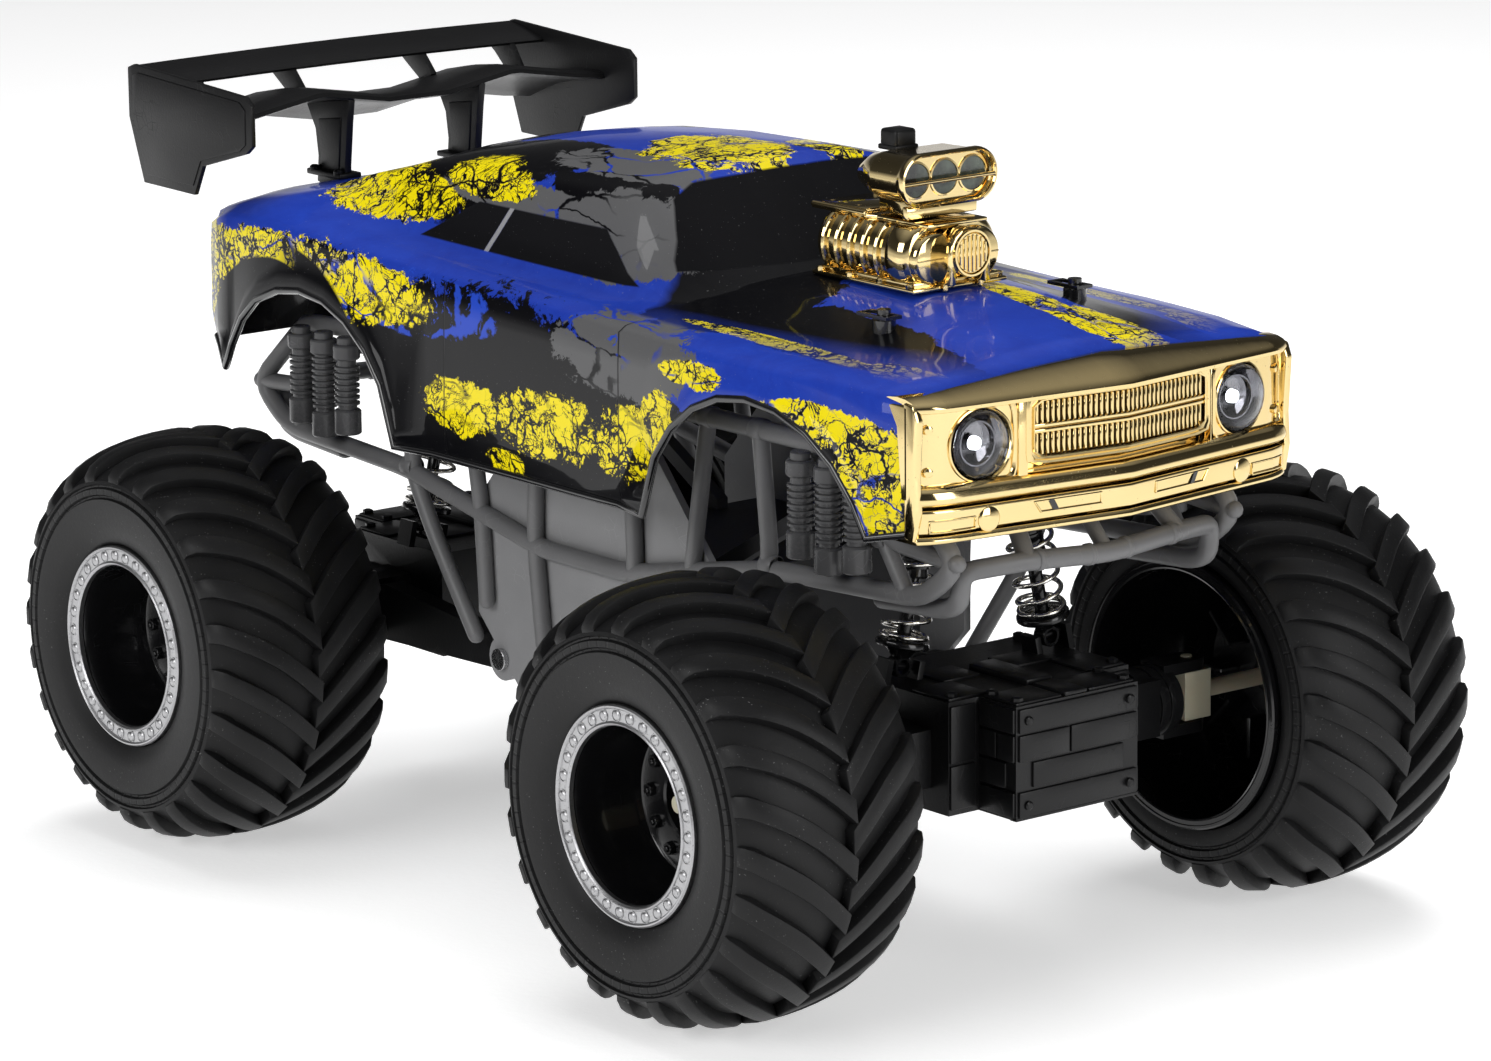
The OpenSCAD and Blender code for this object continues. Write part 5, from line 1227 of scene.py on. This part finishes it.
bm = bmesh.new()
prism(bm, [(w + 13.6, wz + 16.6), (w + 14.0, wz + 18.4), (w + 18, wz + 24.2), (w + 22, wz + 26.4), (w + 36,
        wz + 29.2), (w + 50, wz + 30.9), (w + 60, wz + 31.2),
           (w + 63, wz + 30.5), (w + 64, wz + 29.0), (w + 62, wz + 28.2), (w + 48, wz + 26.6), (w + 34, wz +
               23.6), (w + 22, wz + 19.4), (w + 15, wz + 16.4)],
      -half, half, "xz")
cut(bm, (-74, -58, -46, -42, -30, -14, 14, 30, 42, 46, 58, 74), (0, 1, 0))
for v in bm.verts:                       # gull fold
    away = abs(v.co.y)
    v.co.z += 5.0 * max(0.0, 1 - abs(away - 44) / 30) - 1.4 * max(0.0, (away - 74) / 13)
upper = bmesh.new()
prism(upper, [(w + 1.2, wz + 41.2), (w + 1.4, wz + 42.6), (w + 3, wz + 43.4), (w + 12, wz + 41.8), (w + 23,
        wz + 39.2), (w + 24.4, wz + 38.2),
              (w + 23.6, wz + 37.2), (w + 12, wz + 39.4), (w + 3, wz + 40.8)], -half, half, "xz")
cut(upper, (-70, -50, -30, -10, 10, 30, 50, 70), (0, 1, 0))
for v in upper.verts:
    v.co.z += 0.9 * (1 - (v.co.y / half) ** 2)
joined(bm, upper)
for y in (-72, -30, 30, 72):
    lift = 5.0 * max(0.0, 1 - abs(abs(y) - 44) / 30)
    prism(bm, [(w + 5, wz + 40.8), (w + 24, wz + 38.4), (w + 31, wz + 28.6 + lift), (w + 24, wz + 25.0 +
            lift), (w + 14, wz + 34.0), (w + 8, wz + 38.0)],
          y - 1.25, y + 1.25, "xz", 0.35)
for side in (-1, 1):
    lift = 5.0 * (1 - 14 / 30)
    prism(bm, [(w + 34, wz + 24.5 + lift), (w + 62, wz + 28.6 + lift), (w + 60.5, wz + 22), (w + 58.6, wz +
            6), (w + 58, wz - 6), (w + 40, wz - 2),
               (w + 41, wz + 8), (w + 39.5, wz + 18)], side * 30 - 1.6, side * 30 + 1.6, "xz", 0.5)
    prism(bm, [(w + 42.5, wz + 22.0), (w + 57.0, wz + 24.0), (w + 55.0, wz + 3), (w + 44.0, wz + 3)], side *
          30 - 2.2, side * 30 + 2.2, "xz", 0.5)
    block(bm, (w + 38, side * 30 - 5, wz + 1), (w + 60, side * 30 + 5, wz + 3.2), 0.6)
    for a in (41, 56.5):
        turned(bm, [(0, 2.2), (1.2, 2.2), (1.9, 1.5), (1.9, 0)], (w + a, side * 30 + side * 3.2, wz + 2.4),
               (0, 0, 1), 14)
part("wingBlades", bm, "chassis", "wing", "wing_blades", "wing_black", crease=34)
bm = bmesh.new()
edge = [(w, wz + 42.5), (w, wz + 24), (w + 9, wz), (w + 43, wz - 0.5), (w + 49, wz + 11), (w + 78, wz + 19),
        (w + 82, wz + 22), (w + 82, wz + 37),
        (w + 78, wz + 40), (w + 4, wz + 44)]
middle = (w + 40, wz + 24)
inset = [(middle[0] + (a - middle[0]) * 0.91, middle[1] + (b - middle[1]) * 0.86) for a, b in edge]
for side in (-1, 1):
    outer, wall = side * wing["half"], side * wing["wall"]
    prism(bm, edge, min(outer - wall, outer - side * 0.5), max(outer - wall, outer - side * 0.5), "xz", 0.3)
    prism(bm, inset, min(outer - side * 1.0, outer), max(outer - side * 1.0, outer), "xz", 0.35)
part("wingPlates", bm, "chassis", "wing", "wing_end_plates", "wing_black", crease=34)
print("wing made")


# Body shell, with a rolled lip along its lower edge.

shell = bmesh.new()
shell.from_mesh(frame["nodes"]["body_shell"].data)
bmesh.ops.remove_doubles(shell, verts=shell.verts[:], dist=1e-6)
footRun = []                                 # the shell's lowest points, from tail to nose
for v in shell.verts:
    at = (v.co - Vector((midX, 0, 0))) / mm
    if at.y > 60 and at.z < 207:
        footRun.append(at)
edgeRun = [c for c in footRun if not any(abs(d.x - c.x) < 2.2 and (d.z < c.z - 0.3 or (d.z < c.z +
        0.3 and d.y > c.y + 0.1)) for d in footRun)]
edgeRun.sort(key=lambda c: c.x)
part("bodyPaint", shell, "chassis", "paint", "body_shell", "painted_body", crease=42, scaled=False)
bm = bmesh.new()
lip = {"radius": 1.5, "rise": 0.4}
smoothRun = []
for a, b in zip(edgeRun, edgeRun[1:]):
    if not smoothRun or (a - smoothRun[-1]).length > 2.5:
        smoothRun.append(a)
smoothRun.append(edgeRun[-1])
for side in (-1, 1):
    rings = []
    for i, p in enumerate(smoothRun):
        ahead = smoothRun[min(i + 1, len(smoothRun) - 1)] - smoothRun[max(i - 1, 0)]
        rings.append(ring(bm, (p.x, side * (p.y - 0.3), p.z + lip["rise"]), (ahead.x, side * ahead.y,
                ahead.z), lip["radius"], 12))
    loft(bm, rings)
part("bodyLip", bm, "chassis", "gloss", None, "painted_body", crease=60)
print("body made, lip points:", len(smoothRun))


# The pieces whose CAD shape is kept.

slotLooks = {
    "painted_body": "paint", "black_gloss": "gloss", "gold_chrome": "gold", "silver_chrome": "chrome",
    "clear_lens": "lens", "wing_black": "wing", "frame_grey": "frame", "plate_grey": "plate",
    "tub_grey": "tub",
    "cell_wrap": "cells", "board_green": "board", "door_black": "knob", "trim_grey": "trim",
    "screw_steel": "steel",
    "axle_black": "axle", "nylon": "nylon", "tyre_rubber": "rubber", "rim_black": "rim",
    "ring_silver": "ring",
    "motor_can": "can", "pinion_brass": "brass", "shock_black": "shock", "spring_wire": "wire"}
nodeSlot = {s["node"]: s["material_slot"] for s in frame["record"]["subparts"]}
keptEdge = {"motor_pinion": 0.0, "idler_gear": 0.0, "axle_gear": 0.0, "circuit_board": 0.15,
            "body_clips": 0.3,
            "chassis_screws": 0.2, "power_switch": 0.3, "tail_panel": 0.8}
for node in frame["nodes"]:
    if node not in stoodFor:
        carried(node, slotLooks[nodeSlot[node]], keptEdge.get(node, 0.4), nodeSlot[node])
print("kept shapes finished")
